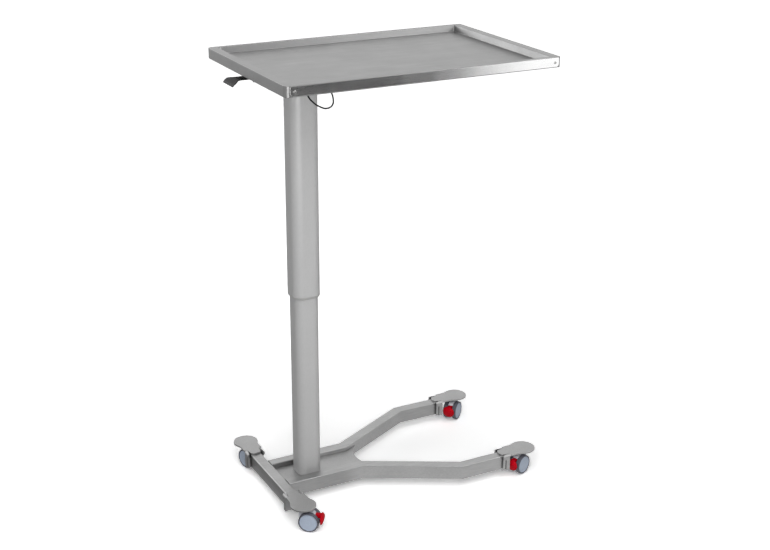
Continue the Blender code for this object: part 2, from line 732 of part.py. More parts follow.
def smooth_route(points, step):
    """Even points along a smooth curve through the given ones."""
    padded = [2 * points[0] - points[1], *points, 2 * points[-1] - points[-2]]
    fine = []
    for a, b, c, d in zip(padded, padded[1:], padded[2:], padded[3:]):
        for i in range(CURVE_SHARES):
            t = i / CURVE_SHARES
            bend = (2 * a - 5 * b + 4 * c - d) * t ** 2 + (3 * b - a - 3 * c + d) * t ** 3
            fine.append(0.5 * (2 * b + (c - a) * t + bend))
    fine.append(points[-1])
    lengths = [0.0]
    for a, b in zip(fine, fine[1:]):
        lengths.append(lengths[-1] + (b - a).length)
    count = round(lengths[-1] / step)
    even = []
    index = 0
    for i in range(count + 1):
        want = lengths[-1] * i / count
        while index < len(lengths) - 2 and lengths[index + 1] < want:
            index += 1
        share = (want - lengths[index]) / (lengths[index + 1] - lengths[index])
        even.append(fine[index].lerp(fine[index + 1], share))
    return even


def add_cable(material, parent, start, end):
    """The release cable as a round tube along its route, from ferrule to ferrule."""
    route = [Vector((x, y, TRAY_TOP + z)) for x, y, z in CABLE_ROUTE]
    lead = Vector((0, CABLE_STEP, 0))
    points = smooth_route([start, start - lead, *route, end - lead, end], CABLE_STEP)
    curve = bpy.data.curves.new("release_cable", "CURVE")
    curve.dimensions = "3D"
    curve.bevel_depth = CABLE_R
    curve.bevel_resolution = 2
    curve.use_fill_caps = True
    spline = curve.splines.new("POLY")
    spline.points.add(len(points) - 1)
    for spot, point in zip(spline.points, points):
        spot.co = (*point, 1)
    spline.use_smooth = True
    curve.materials.append(material)
    cable = bpy.data.objects.new("release_cable", curve)
    cable.parent = parent
    bpy.context.scene.collection.objects.link(cable)


def square_tube(side, corner, wall, low, high):
    """A rounded-square tube, open at both ends."""
    outer = rounded_square(side, corner)
    inner = rounded_square(side - 2 * wall, corner - wall)
    rings = [at_height(outer, low), at_height(outer, high), at_height(inner, high), at_height(inner, low)]
    return ring_body(rings, closed=True)


def build_base(cart, paint):
    """Welded base: cross tube, legs, plate and caster brackets."""
    cross_end = REAR_SWIVEL_Y - TUBE_REACH
    cross = [(CROSS_X, -cross_end), (CROSS_X, cross_end)]
    place("rear_cross_tube", tube_body(cross), paint["tube steel"], cart)
    place("right_leg_tube", tube_body(leg_path(-1)), paint["tube steel"], cart)
    place("left_leg_tube", tube_body(leg_path(1)), paint["tube steel"], cart)
    place("column_base_plate", base_plate_body(), paint["plate steel"], cart)


def build_column(cart, lift, paint):
    """Lower stage and gas spring on the base, upper stage and rod on the lift."""
    foot = PLATE_TOP + GAP
    lower = square_tube(LOWER_SIDE, LOWER_CORNER, LOWER_WALL, foot, LOWER_TOP)
    place("lower_column", lower, paint["column steel"], cart)

    bush_side = UPPER_BORE - 2 * SLIDE_GAP
    cap = rounded_square(bush_side, UPPER_BORE_CORNER - SLIDE_GAP)
    skirt_side = LOWER_BORE - 2 * GAP
    skirt = rounded_square(skirt_side, LOWER_BORE_CORNER - GAP)
    inside = rounded_square(skirt_side - 2 * BUSH_SKIRT_WALL, LOWER_BORE_CORNER - GAP - BUSH_SKIRT_WALL)
    seat = LOWER_TOP + GAP
    bush = ring_body([
        at_height(inside, seat - BUSH_SKIRT),
        at_height(skirt, seat - BUSH_SKIRT),
        at_height(skirt, seat),
        at_height(cap, seat),
        at_height(cap, seat + BUSH_CAP),
        at_height(inside, seat + BUSH_CAP),
    ], closed=True)
    place("upper_guide_bush", bush, paint["black plastic"], cart)

    bore = CYLINDER_R - CYLINDER_WALL
    cylinder = turned([
        (bore, foot + CYLINDER_WALL),
        (bore, CYLINDER_TOP),
        (CYLINDER_R, CYLINDER_TOP),
        (CYLINDER_R, foot),
    ], SMALL_STEPS)
    place("gas_spring_cylinder", cylinder, paint["black steel"], cart)
    rod_way = ROD_R + SLIDE_GAP
    gland_low = CYLINDER_TOP + GAP
    gland = turned([
        (rod_way, gland_low),
        (CYLINDER_R, gland_low),
        (CYLINDER_R, gland_low + GLAND),
        (rod_way, gland_low + GLAND),
    ], SMALL_STEPS, closed=True)
    place("gas_spring_gland", gland, paint["plate steel"], cart)

    inlet_r = FERRULE_SHANK_R + GAP
    inlet_z = TRAY_TOP - CABLE_INLET_DROP
    inlet = moved(
        turned([(inlet_r, 0), (inlet_r, UPPER_SIDE / 2 + GAP)], SMALL_STEPS),
        UPRIGHT,
        Matrix.Translation((CABLE_INLET_X, 0, inlet_z)),
    )
    upper = square_tube(UPPER_SIDE, UPPER_CORNER, UPPER_WALL, UPPER_FOOT, UPPER_TOP)
    stage = combined("upper_column", upper, ("DIFFERENCE", inlet))
    place("upper_column", stage, paint["column steel"], lift)

    sleeve_out = rounded_square(UPPER_BORE - 2 * GAP, UPPER_BORE_CORNER - GAP)
    sleeve_in = rounded_square(LOWER_SIDE + 2 * SLIDE_GAP, LOWER_CORNER + SLIDE_GAP)
    lip_out = rounded_square(UPPER_SIDE, UPPER_CORNER)
    lip_end = rounded_square(UPPER_SIDE - 2 * COLLAR_TAPER, UPPER_CORNER - COLLAR_TAPER)
    lip_top = UPPER_FOOT - GAP
    collar = ring_body([
        at_height(sleeve_in, lip_top - COLLAR_LIP),
        at_height(lip_end, lip_top - COLLAR_LIP),
        at_height(lip_out, lip_top - COLLAR_BAND),
        at_height(lip_out, lip_top),
        at_height(sleeve_out, lip_top),
        at_height(sleeve_out, lip_top + COLLAR_SLEEVE),
        at_height(sleeve_in, lip_top + COLLAR_SLEEVE),
    ], closed=True)
    place("lower_guide_collar", collar, paint["grey plastic"], lift)

    piston_r = bore - SLIDE_GAP
    rod = turned([
        (piston_r, PISTON_TOP - PISTON), (piston_r, PISTON_TOP), (ROD_R, PISTON_TOP), (ROD_R, ROD_TOP)
    ], SMALL_STEPS)
    place("gas_spring_rod", rod, paint["plate steel"], lift)
    socket = ROD_R + GAP
    release = turned([
        (RELEASE_R, RELEASE_UNDER), (socket, RELEASE_UNDER), (socket, ROD_TOP + GAP)
    ][::-1] + [(RELEASE_R, RELEASE_TOP)], SMALL_STEPS)
    place("release_head", release, paint["black steel"], lift)

    head_front = HEAD_LENGTH - HEAD_BACK
    head = rounded_rect((-HEAD_BACK, -HEAD_WIDTH / 2), (head_front, HEAD_WIDTH / 2), HEAD_CORNER)
    place("column_head_plate", prism(head, HEAD_UNDER, HEAD_TOP), paint["plate steel"], lift)


def build_tray(lift, paint):
    """Pan, long-side strips and their screws."""
    place("tray_pan", pan_mesh(), paint["tray steel"], lift)
    screw = to_mesh("strip_screw", screw_body())
    for label, side in (("right", -1), ("left", 1)):
        name = label + "_edge_strip"
        place(name, strip_mesh(name, side), paint["strip steel"], lift)
        tilt = (math.radians(-90 * side), 0, 0)
        for end, x in zip(("rear", "front"), screw_places()):
            spot = (x, side * TRAY_WIDTH / 2, screw_height())
            place(f"{label}_{end}_strip_screw", screw, paint["screw steel"], lift, spot, tilt)


def build_release(lift, paint):
    """Lever, its bracket and pin, and the cable to the column's head."""
    pin_spot = (LEVER_X, LEVER_Y, LEVER_Z)
    place("lever_bracket", yoke_mesh(), paint["black steel"], lift, pin_spot)
    place("release_lever", lever_mesh(), paint["black plastic"], lift, pin_spot)
    pin = moved(turned([(PIN_R, -YOKE_OUTER_Y), (PIN_R, YOKE_OUTER_Y)], SMALL_STEPS), ALONG_Y)
    place("lever_pin", pin, paint["screw steel"], lift, pin_spot)

    facing_right = (math.radians(90), 0, 0)
    stop = Vector((LEVER_X + CABLE_STOP_AHEAD, LEVER_Y - YOKE_OUTER_Y - GAP, LEVER_Z))
    place("lever_cable_ferrule", ferrule_body(0), paint["black plastic"], lift, stop, facing_right)
    inlet = Vector((CABLE_INLET_X, -UPPER_SIDE / 2 - GAP, TRAY_TOP - CABLE_INLET_DROP))
    shank = UPPER_SIDE / 2 - RELEASE_R
    place("head_cable_ferrule", ferrule_body(shank), paint["black plastic"], lift, inlet, facing_right)
    sleeve = Vector((0, FERRULE_FLANGE + FERRULE_BODY + GAP, 0))
    add_cable(paint["black plastic"], lift, stop - sleeve, inlet - sleeve)


def build_casters(cart, paint):
    """Four brackets, each with a swivelling twin-wheel caster and its brake pedal."""
    bracket = bracket_mesh()
    housing = housing_mesh()
    pedal = pedal_mesh()
    tyre = to_mesh("tyre", tyre_body())
    disc = to_mesh("wheel_disc", disc_body())
    axle_half = WHEEL_INNER_Y + TYRE_WIDTH - 2 * DISC_RECESS
    axle = to_mesh("caster_axle", turned([(AXLE_R, -axle_half), (AXLE_R, axle_half)], SMALL_STEPS))
    swivels = {
        "rear_right": (CROSS_X, -REAR_SWIVEL_Y, -90),
        "rear_left": (CROSS_X, REAR_SWIVEL_Y, 90),
        "front_right": (SWIVEL_X, -LEG_OUTER_Y, 0),
        "front_left": (SWIVEL_X, LEG_OUTER_Y, 0),
    }
    for corner, (x, y, outward) in swivels.items():
        turn = (0, 0, math.radians(outward))
        place(corner + "_caster_bracket", bracket, paint["plate steel"], cart, (x, y, 0), turn)
        caster = make_empty(corner + "_caster", cart, (x, y, 0), CASTER_HEADINGS[corner])
        place(corner + "_caster_housing", housing, paint["housing plastic"], caster)
        hub = (TRAIL, 0, WHEEL_R)
        sideways = (math.radians(-90), 0, 0)
        place(corner + "_caster_axle", axle, paint["screw steel"], caster, hub, sideways)
        for label, side in (("left", 1), ("right", -1)):
            spot = (TRAIL, side * WHEEL_INNER_Y, WHEEL_R)
            outwards = (math.radians(-90 * side), 0, 0)
            place(f"{corner}_{label}_tyre", tyre, paint["tread rubber"], caster, spot, outwards)
            place(f"{corner}_{label}_disc", disc, paint["disc plastic"], caster, spot, outwards)
        pivot_x, pivot_z = PEDAL_PIVOT
        place(corner + "_brake_pedal", pedal, paint["red plastic"], caster, (pivot_x, 0, pivot_z))


def centre_length(cart):
    """Set the cart so that the middle of its length, without the cable, lies on X = 0."""
    bpy.context.view_layer.update()
    nodes = [item for item in bpy.data.objects if item.type == "MESH"]
    reach = [(node.matrix_world @ vertex.co).x for node in nodes for vertex in node.data.vertices]
    cart.location.x = -(min(reach) + max(reach)) / 2
    bpy.context.view_layer.update()


def main():
    """Clear the scene and build the cart."""
    for item in list(bpy.data.objects):
        bpy.data.objects.remove(item)
    paint = {
        "tray steel": make_material("brushed tray steel", (0.36, 0.36, 0.36), 0.35, 1.0),
        "strip steel": make_material("polished strip steel", (0.45, 0.45, 0.45), 0.18, 1.0),
        "tube steel": make_material("brushed tube steel", (0.40, 0.40, 0.40), 0.32, 1.0),
        "plate steel": make_material("brushed plate steel", (0.38, 0.38, 0.38), 0.40, 1.0),
        "column steel": make_material("satin column steel", (0.42, 0.42, 0.42), 0.38, 1.0),
        "screw steel": make_material("bright screw steel", (0.60, 0.60, 0.60), 0.15, 1.0),
        "black steel": make_material("black enamelled steel", (0.02, 0.02, 0.02), 0.40, 0.0),
        "black plastic": make_material("black moulded plastic", (0.012, 0.012, 0.013), 0.42, 0.0),
        "grey plastic": make_material("grey guide plastic", (0.30, 0.30, 0.30), 0.45, 0.0),
        "housing plastic": make_material("pale grey housing plastic", (0.50, 0.50, 0.55), 0.45, 0.0),
        "disc plastic": make_material("blue-grey disc plastic", (0.31, 0.36, 0.45), 0.40, 0.0),
        "tread rubber": make_material("dark tread rubber", (0.07, 0.07, 0.085), 0.60, 0.0),
        "red plastic": make_material("red pedal plastic", (0.52, 0.004, 0.016), 0.38, 0.0),
    }
    cart = make_empty("cart")
    lift = make_empty("lift", cart)
    build_base(cart, paint)
    build_column(cart, lift, paint)
    build_tray(lift, paint)
    build_release(lift, paint)
    build_casters(cart, paint)
    centre_length(cart)


main()
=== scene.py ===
"""Looks of the instrument cart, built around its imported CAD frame.

Metres, in the frame's own axes: +Z up, +X from the column towards the open end of the base.
Each class below is one sub-assembly. It builds its meshes where the CAD nodes are and dresses them.
"""

import json
import logging
import math
from dataclasses import dataclass
from enum import Enum
from typing import Any, Optional, Sequence

import bmesh
import bpy
from bmesh.types import BMEdge, BMesh, BMFace, BMVert
from mathutils import Matrix, Vector

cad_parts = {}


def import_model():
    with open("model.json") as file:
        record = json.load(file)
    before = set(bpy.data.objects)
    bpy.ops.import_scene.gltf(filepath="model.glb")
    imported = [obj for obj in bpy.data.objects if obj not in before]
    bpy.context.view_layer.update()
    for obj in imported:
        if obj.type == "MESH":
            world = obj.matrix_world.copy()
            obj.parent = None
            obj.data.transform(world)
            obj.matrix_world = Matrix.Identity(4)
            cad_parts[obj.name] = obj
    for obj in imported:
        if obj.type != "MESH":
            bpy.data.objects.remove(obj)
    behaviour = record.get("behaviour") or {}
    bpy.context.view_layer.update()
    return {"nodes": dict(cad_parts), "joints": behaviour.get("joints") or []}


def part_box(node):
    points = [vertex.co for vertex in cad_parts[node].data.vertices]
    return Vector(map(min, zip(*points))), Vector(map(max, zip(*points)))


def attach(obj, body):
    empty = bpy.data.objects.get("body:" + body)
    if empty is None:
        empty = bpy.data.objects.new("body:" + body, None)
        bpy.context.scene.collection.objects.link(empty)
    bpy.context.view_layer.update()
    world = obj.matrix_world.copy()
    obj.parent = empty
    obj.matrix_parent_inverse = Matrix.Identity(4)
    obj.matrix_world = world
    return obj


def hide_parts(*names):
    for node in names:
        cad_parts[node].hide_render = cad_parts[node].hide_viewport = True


LOG = logging.getLogger("instrument_cart")
MM = 0.001
# Clearance between pieces that touch on the real cart.
GAP = 0.0003
# Points closer than this are one point.
MERGE = 1e-6
# Faces that meet at more than this, in degrees, meet at a cut edge.
SHARP = 60.0
FULL_TURN = 2 * math.pi

Point = Sequence[float]
Profile = tuple[tuple[float, float], ...]
Edges = list[BMEdge]


class Body(str, Enum):
    """CAD bodies that pieces of one kind ride on."""

    BASE = "base"
    LIFT = "lift"
    LEVER = "release_lever"


class Corner(str, Enum):
    """The four ends of the base."""

    REAR_RIGHT = "rear_right"
    REAR_LEFT = "rear_left"
    FRONT_RIGHT = "front_right"
    FRONT_LEFT = "front_left"


class Side(Enum):
    """The two long sides of the cart, as a sign along Y."""

    RIGHT = -1
    LEFT = 1

    @property
    def label(self) -> str:
        """The side's word in piece names."""
        return self.name.lower()


def linear(colour: str) -> tuple[float, float, float, float]:
    """Turn an sRGB hex colour into linear RGBA.

    Args:
        colour: six hex digits after a hash.

    Returns:
        The linear colour with full alpha.
    """
    shares = [int(colour[i:i + 2], 16) / 255 for i in (1, 3, 5)]
    parts = [s / 12.92 if s <= 0.04045 else ((s + 0.055) / 1.055) ** 2.4 for s in shares]
    return (*parts, 1.0)


def add_node(tree: bpy.types.NodeTree, kind: str, settings: Optional[dict[str, Any]] = None,
             inputs: Optional[dict[Any, Any]] = None) -> bpy.types.Node:
    """Add a node, set its properties, and set or link its inputs.

    Args:
        tree: the node tree to add to.
        kind: the node's type name.
        settings: property values by name.
        inputs: values, or sockets to link from, by input name or index.

    Returns:
        The new node.
    """
    node = tree.nodes.new(kind)
    for key, value in (settings or {}).items():
        setattr(node, key, value)
    for key, value in (inputs or {}).items():
        if isinstance(value, bpy.types.NodeSocket):
            tree.links.new(value, node.inputs[key])
        else:
            node.inputs[key].default_value = value
    return node


def blank_material(name: str) -> bpy.types.Material:
    """Make a material with an empty node tree."""
    made = bpy.data.materials.new(name)
    made.use_nodes = True
    made.node_tree.nodes.clear()
    return made


@dataclass(frozen=True)
class Finish:
    """A surface: its slot, two close colours, a roughness and its spread, and marks of a real size."""

    name: str
    slot: str
    light: str
    dark: str
    roughness: float
    spread: float
    mark_mm: tuple[float, float, float]
    relief_mm: float
    metallic: float = 0.0
    specular: float = 0.5
    cloud_mm: float = 60.0
    mark_share: float = 0.65

    def material(self) -> bpy.types.Material:
        """Make the material once, and hand the same one out again.

        Returns:
            The material.
        """
        made = bpy.data.materials.get(self.name)
        if made:
            return made
        made = blank_material(self.name)
        tree = made.node_tree
        place = add_node(tree, "ShaderNodeTexCoord").outputs["Object"]
        stretch = add_node(tree, "ShaderNodeMapping", inputs={
            "Vector": place, "Scale": [1 / (size * MM) for size in self.mark_mm]})
        marks = add_node(tree, "ShaderNodeTexNoise", inputs={
            "Vector": stretch.outputs["Vector"], "Scale": 1.0, "Detail": 3.0, "Roughness": 0.55})
        cloud = add_node(tree, "ShaderNodeTexNoise", inputs={
            "Vector": place, "Scale": 1 / (self.cloud_mm * MM), "Detail": 2.0})
        most = add_node(tree, "ShaderNodeMath", {"operation": "MULTIPLY"}, {
            0: marks.outputs["Fac"], 1: self.mark_share})
        both = add_node(tree, "ShaderNodeMath", {"operation": "MULTIPLY_ADD", "use_clamp": True}, {
            0: cloud.outputs["Fac"], 1: 1 - self.mark_share, 2: most.outputs[0]})
        colour = add_node(tree, "ShaderNodeMix", {"data_type": "RGBA"}, {
            0: both.outputs[0], 6: linear(self.dark), 7: linear(self.light)})
        rough = add_node(tree, "ShaderNodeMapRange", inputs={
            "Value": both.outputs[0], "From Min": 0.3, "From Max": 0.7,
            "To Min": self.roughness + self.spread, "To Max": self.roughness - self.spread})
        relief = add_node(tree, "ShaderNodeBump", inputs={
            "Height": marks.outputs["Fac"], "Strength": 1.0, "Distance": self.relief_mm * MM})
        shader = add_node(tree, "ShaderNodeBsdfPrincipled", inputs={
            "Base Color": colour.outputs[2], "Roughness": rough.outputs["Result"],
            "Normal": relief.outputs["Normal"], "Metallic": self.metallic,
            "Specular IOR Level": self.specular})
        add_node(tree, "ShaderNodeOutputMaterial", inputs={"Surface": shader.outputs["BSDF"]})
        return made


# Stainless sheet brushed along the tray: even grey, with fine streaks along its length.
# Real streaks are about 0.3 mm wide, and are drawn coarser so that they show.
TRAY_STEEL = Finish("brushed stainless sheet", "tray_steel", "#979797", "#848484",
                    roughness=0.34, spread=0.05, mark_mm=(140.0, 2.2, 2.2), relief_mm=0.010, metallic=1.0)
# Bright-drawn stainless flat bar: clear, sharp reflections with faint drawing lines.
STRIP_STEEL = Finish("bright stainless bar", "strip_steel", "#eeeeee", "#e0e0e0",
                     roughness=0.18, spread=0.04, mark_mm=(220.0, 2.0, 1.6), relief_mm=0.004, metallic=1.0)
# Square-cut stainless tube, belt-ground along its length: satin, with short streaks.
TUBE_STEEL = Finish("belt-ground stainless tube", "tube_steel", "#bababa", "#919191",
                    roughness=0.34, spread=0.06, mark_mm=(45.0, 3.0, 3.0), relief_mm=0.012, metallic=1.0)
# Laser-cut stainless plate, bead-blasted: matt and even, with a fine speckle.
PLATE_STEEL = Finish("blasted stainless plate", "plate_steel", "#b9b9b9", "#979797",
                     roughness=0.46, spread=0.05, mark_mm=(2.4, 2.4, 2.4), relief_mm=0.010, metallic=1.0)
# Steel column in silver lacquer: soft sheen, with the sparkle of metal flake.
COLUMN_METAL = Finish("silver lacquered steel", "column_metal", "#b8b8b8", "#ababab",
                      roughness=0.42, spread=0.05, mark_mm=(3.0, 3.0, 9.0), relief_mm=0.008, metallic=0.14)
# Zinc-plated steel of screws, pin and axles: bright, with slight clouding.
SCREW_STEEL = Finish("zinc-plated steel", "screw_steel", "#b6b6b4", "#a2a2a1",
                     roughness=0.22, spread=0.05, mark_mm=(1.2, 1.2, 1.2), relief_mm=0.004, metallic=1.0)
# Black enamelled steel of gas spring and lever bracket: smooth and glossy.
BLACK_STEEL = Finish("black enamelled steel", "black_steel", "#1f1f20", "#161617",
                     roughness=0.32, spread=0.05, mark_mm=(4.0, 4.0, 4.0), relief_mm=0.006, specular=0.3)
# Black glass-filled nylon, moulded: near black with a fine spark-eroded grain.
BLACK_PLASTIC = Finish("black moulded nylon", "black_plastic", "#151516", "#0c0c0d",
                       roughness=0.46, spread=0.06, mark_mm=(1.1, 1.1, 1.1), relief_mm=0.020, specular=0.22)
# Grey acetal guide ring: smooth and waxy.
GREY_PLASTIC = Finish("grey acetal", "grey_plastic", "#a9a9a8", "#9c9c9b",
                      roughness=0.42, spread=0.04, mark_mm=(3.0, 3.0, 3.0), relief_mm=0.006)
# Pale grey polyamide caster body: satin moulding.
HOUSING_PLASTIC = Finish("pale grey polyamide", "housing_plastic", "#d8d9df", "#cacbd3",
                         roughness=0.40, spread=0.05, mark_mm=(1.6, 1.6, 1.6), relief_mm=0.012)
# Blue-grey polypropylene wheel centre: satin, slightly mottled.
DISC_PLASTIC = Finish("blue-grey polypropylene", "disc_plastic", "#adb8c8", "#9faabb",
                      roughness=0.40, spread=0.06, mark_mm=(2.0, 2.0, 2.0), relief_mm=0.010)
# Grey thermoplastic rubber tread: matt, with dusty scuffs.
TREAD_RUBBER = Finish("grey thermoplastic rubber", "tread_rubber", "#5c5d66", "#4a4b54",
                      roughness=0.62, spread=0.08, mark_mm=(2.6, 2.6, 2.6), relief_mm=0.020)
# Red polyamide brake pedal: saturated, with a soft gloss.
RED_PLASTIC = Finish("red polyamide", "red_plastic", "#c4061c", "#ae0416",
                     roughness=0.46, spread=0.05, mark_mm=(1.6, 1.6, 1.6), relief_mm=0.012, specular=0.06)


def centre_of(node: str) -> Vector:
    """The middle of a CAD node's box."""
    low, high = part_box(node)
    return (low + high) / 2


def arc(centre: Point, radius: float, start: float, end: float, steps: int) -> list[tuple[float, float]]:
    """Points along an arc in a plane.

    Args:
        centre: the arc's centre.
        radius: its radius.
        start: first angle in degrees.
        end: last angle in degrees.
        steps: how many stretches it has.

    Returns:
        The points, with both ends.
    """
    angles = [math.radians(start + (end - start) * i / steps) for i in range(steps + 1)]
    return [(centre[0] + radius * math.cos(a), centre[1] + radius * math.sin(a)) for a in angles]


def rounded_face(bm: BMesh, corners: Sequence[Point], z: float = 0.0,
                 segments: int = 8) -> BMFace:
    """Lay a level face, and bevel those of its corners round that have a radius.

    Args:
        bm: the mesh to add to.
        corners: (x, y) or (x, y, radius) of each corner, in order.
        z: the face's height.
        segments: stretches in each round corner.

    Returns:
        The face.
    """
    before = set(bm.faces)
    face = bm.faces.new([bm.verts.new((corner[0], corner[1], z)) for corner in corners])
    for vert, corner in zip(list(face.verts), corners):
        if len(corner) > 2 and corner[2] > 0:
            bmesh.ops.bevel(bm, geom=[vert], offset=corner[2], offset_type="OFFSET", segments=segments,
                            profile=0.5, affect="VERTICES", material=-1)
    return next(item for item in bm.faces if item not in before)


def block(outline: Sequence[Point], height: float, z: float = 0.0, segments: int = 8) -> BMesh:
    """Raise an outline into a closed block.

    Args:
        outline: (x, y) or (x, y, radius) of each corner, in order.
        height: how far the block rises.
        z: the height that it starts at.
        segments: stretches in each round corner.

    Returns:
        The block's mesh.
    """
    bm = bmesh.new()
    face = rounded_face(bm, outline, z, segments)
    grown = bmesh.ops.extrude_face_region(bm, geom=[face], use_keep_orig=True)
    verts = [item for item in grown["geom"] if isinstance(item, BMVert)]
    bmesh.ops.translate(bm, verts=verts, vec=(0, 0, height))
    bmesh.ops.recalc_face_normals(bm, faces=bm.faces)
    return bm


def rectangle(low: Point, high: Point, radius: float,
              front_radius: Optional[float] = None) -> list[tuple[float, float, float]]:
    """Corners of a rectangle with one radius, or with another at its +X end."""
    front = front_radius or radius
    return [(high[0], high[1], front), (low[0], high[1], radius), (low[0], low[1], radius),
            (high[0], low[1], front)]


@dataclass(frozen=True)
class Level:
    """A rounded rectangle at one height, one of a stack that a shell is skinned over."""

    low: Point
    high: Point
    radius: float
    z: float
    front_radius: Optional[float] = None

    @property
    def corners(self) -> list[tuple[float, float, float]]:
        """Its four corners with their radii, counter-clockwise."""
        return rectangle(self.low, self.high, self.radius, self.front_radius)

    def corner(self, spot: Vector, origin: Vector) -> tuple[Vector, float]:
        """Find the round corner on the same side of the origin as a point.

        Args:
            spot: the point.
            origin: the middle of the outline.

        Returns:
            The corner's centre and its radius.
        """
        ahead = spot.x > origin.x
        radius = self.front_radius if ahead and self.front_radius else self.radius
        x = self.high[0] - radius if ahead else self.low[0] + radius
        y = self.high[1] - radius if spot.y > origin.y else self.low[1] + radius
        return Vector((x, y, self.z)), radius

    def carry(self, spot: Vector, after: "Level") -> Vector:
        """Where a point of this outline comes to lie on the next.

        Args:
            spot: a point on one of this outline's round corners.
            after: the next outline.

        Returns:
            The point at the same turn of the next outline's corner.
        """
        origin = Vector((self.low[0] + self.high[0], self.low[1] + self.high[1], 0)) / 2
        centre, radius = self.corner(spot, origin)
        next_centre, next_radius = after.corner(spot, origin)
        return next_centre + (spot - centre) * next_radius / radius


def stack(bm: BMesh, levels: Sequence[Level], closed: bool, segments: int = 8) -> None:
    """Skin a shell over levels in order, then cap both ends or close the last back on the first.

    Args:
        bm: the mesh to add to.
        levels: the outlines from one end to the other.
        closed: whether the last outline joins the first.
        segments: stretches in each round corner.
    """
    first = levels[0]
    face = rounded_face(bm, first.corners, first.z, segments)
    edges = list(face.edges)
    course = list(levels)
    if closed:
        bm.faces.remove(face)
        course.append(first)
    for before, after in zip(course, course[1:]):
        grown = bmesh.ops.extrude_edge_only(bm, edges=edges)["geom"]
        verts = {item for item in grown if isinstance(item, BMVert)}
        rims = [item for item in grown if isinstance(item, BMEdge)]
        edges = [edge for edge in rims if verts.issuperset(edge.verts)]
        for vert in verts:
            vert.co = before.carry(vert.co, after)
    if not closed:
        bmesh.ops.edgeloop_fill(bm, edges=edges)
    bmesh.ops.remove_doubles(bm, verts=bm.verts, dist=MERGE)
    bmesh.ops.recalc_face_normals(bm, faces=bm.faces)


def creases(bm: BMesh, degrees: float = SHARP) -> Edges:
    """Edges whose faces meet at more than an angle."""
    return [edge for edge in bm.edges if edge.calc_face_angle(0.0) > math.radians(degrees)]


def level_edges(bm: BMesh) -> Edges:
    """Sharp edges that lie level: the two rims of an upright block."""
    return [edge for edge in creases(bm) if abs(edge.verts[0].co.z - edge.verts[1].co.z) < MERGE]


def soften(bm: BMesh, edges: Edges, width: float, segments: int = 3) -> None:
    """Round edges off."""
    bmesh.ops.bevel(bm, geom=edges, offset=width, offset_type="OFFSET", segments=segments, profile=0.5,
                    affect="EDGES", clamp_overlap=True, material=-1)


def turned(profile: Sequence[Point], steps: int, edge: float = 0.0, segments: int = 2, closed: bool = False,
           sharp: float = SHARP) -> BMesh:
    """Turn a profile of (radius, height) points about Z and round its edges off.

    Args:
        profile: the points from one end to the other.
        steps: stretches round the turn.
        edge: how far its edges are rounded, or nought for none.
        segments: stretches across each rounded edge.
        closed: whether the profile is a loop.
        sharp: the angle past which an edge is rounded, in degrees.

    Returns:
        The turned mesh.
    """
    bm = bmesh.new()
    verts = [bm.verts.new((radius, 0, z)) for radius, z in profile]
    edges = [bm.edges.new(pair) for pair in zip(verts, verts[1:])]
    if closed:
        edges.append(bm.edges.new((verts[-1], verts[0])))
    bmesh.ops.spin(bm, geom=verts + edges, cent=(0, 0, 0), axis=(0, 0, 1), angle=FULL_TURN, steps=steps,
                   use_merge=True)
    bmesh.ops.remove_doubles(bm, verts=bm.verts, dist=MERGE)
    bmesh.ops.recalc_face_normals(bm, faces=bm.faces)
    if edge > 0:
        soften(bm, creases(bm, sharp), edge, segments)
    return bm


def rod(radius: float, low: float, high: float, steps: int, edge: float,
        segments: int = 2) -> BMesh:
    """Turn a plain rod about Z with its two rims rounded off."""
    return turned([(0, low), (radius, low), (radius, high), (0, high)], steps, edge, segments)


def turn_mesh(bm: BMesh, *matrices: Matrix) -> None:
    """Apply matrices to a whole mesh, first to last."""
    for matrix in matrices:
        bmesh.ops.transform(bm, matrix=matrix, verts=bm.verts)


UPRIGHT = Matrix.Rotation(math.radians(90), 4, "X")
ALONG_Y = Matrix.Rotation(math.radians(-90), 4, "X")
ALONG_X = Matrix(((0, 0, 1, 0), (1, 0, 0, 0), (0, 1, 0, 0), (0, 0, 0, 1)))


def join(bm: BMesh, other: BMesh) -> None:
    """Move another mesh's shells into this one.

    Args:
        bm: the mesh that grows.
        other: the mesh that is used up.
    """
    spare = bpy.data.meshes.new("spare")
    other.to_mesh(spare)
    other.free()
    bm.from_mesh(spare)
    bpy.data.meshes.remove(spare)


def make_piece(node: str, bm: BMesh, finish: Finish, body: str, crease: float = 35.0) -> None:
    """Turn a mesh into a dressed piece that stands for one CAD node.

    Args:
        node: the CAD node that it replaces.
        bm: the mesh, in the frame's axes; it is freed.
        finish: the surface that it gets.
        body: the CAD body that it rides on.
        crease: faces that meet at more than this angle, in degrees, keep a sharp edge.
    """
    bmesh.ops.remove_doubles(bm, verts=bm.verts, dist=MERGE)
    bmesh.ops.recalc_face_normals(bm, faces=bm.faces)
    name = node + "_piece"
    mesh = bpy.data.meshes.new(name)
    bm.to_mesh(mesh)
    bm.free()
    mesh.materials.append(finish.material())
    mesh.shade_smooth()
    mesh.set_sharp_from_angle(angle=math.radians(crease))
    piece = bpy.data.objects.new(name, mesh)
    bpy.context.scene.collection.objects.link(piece)
    piece.modifiers.new("even shading", "WEIGHTED_NORMAL").keep_sharp = True
    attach(piece, body)
    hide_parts(node)
    LOG.info("%s: %d faces on %s", name, len(mesh.polygons), body)


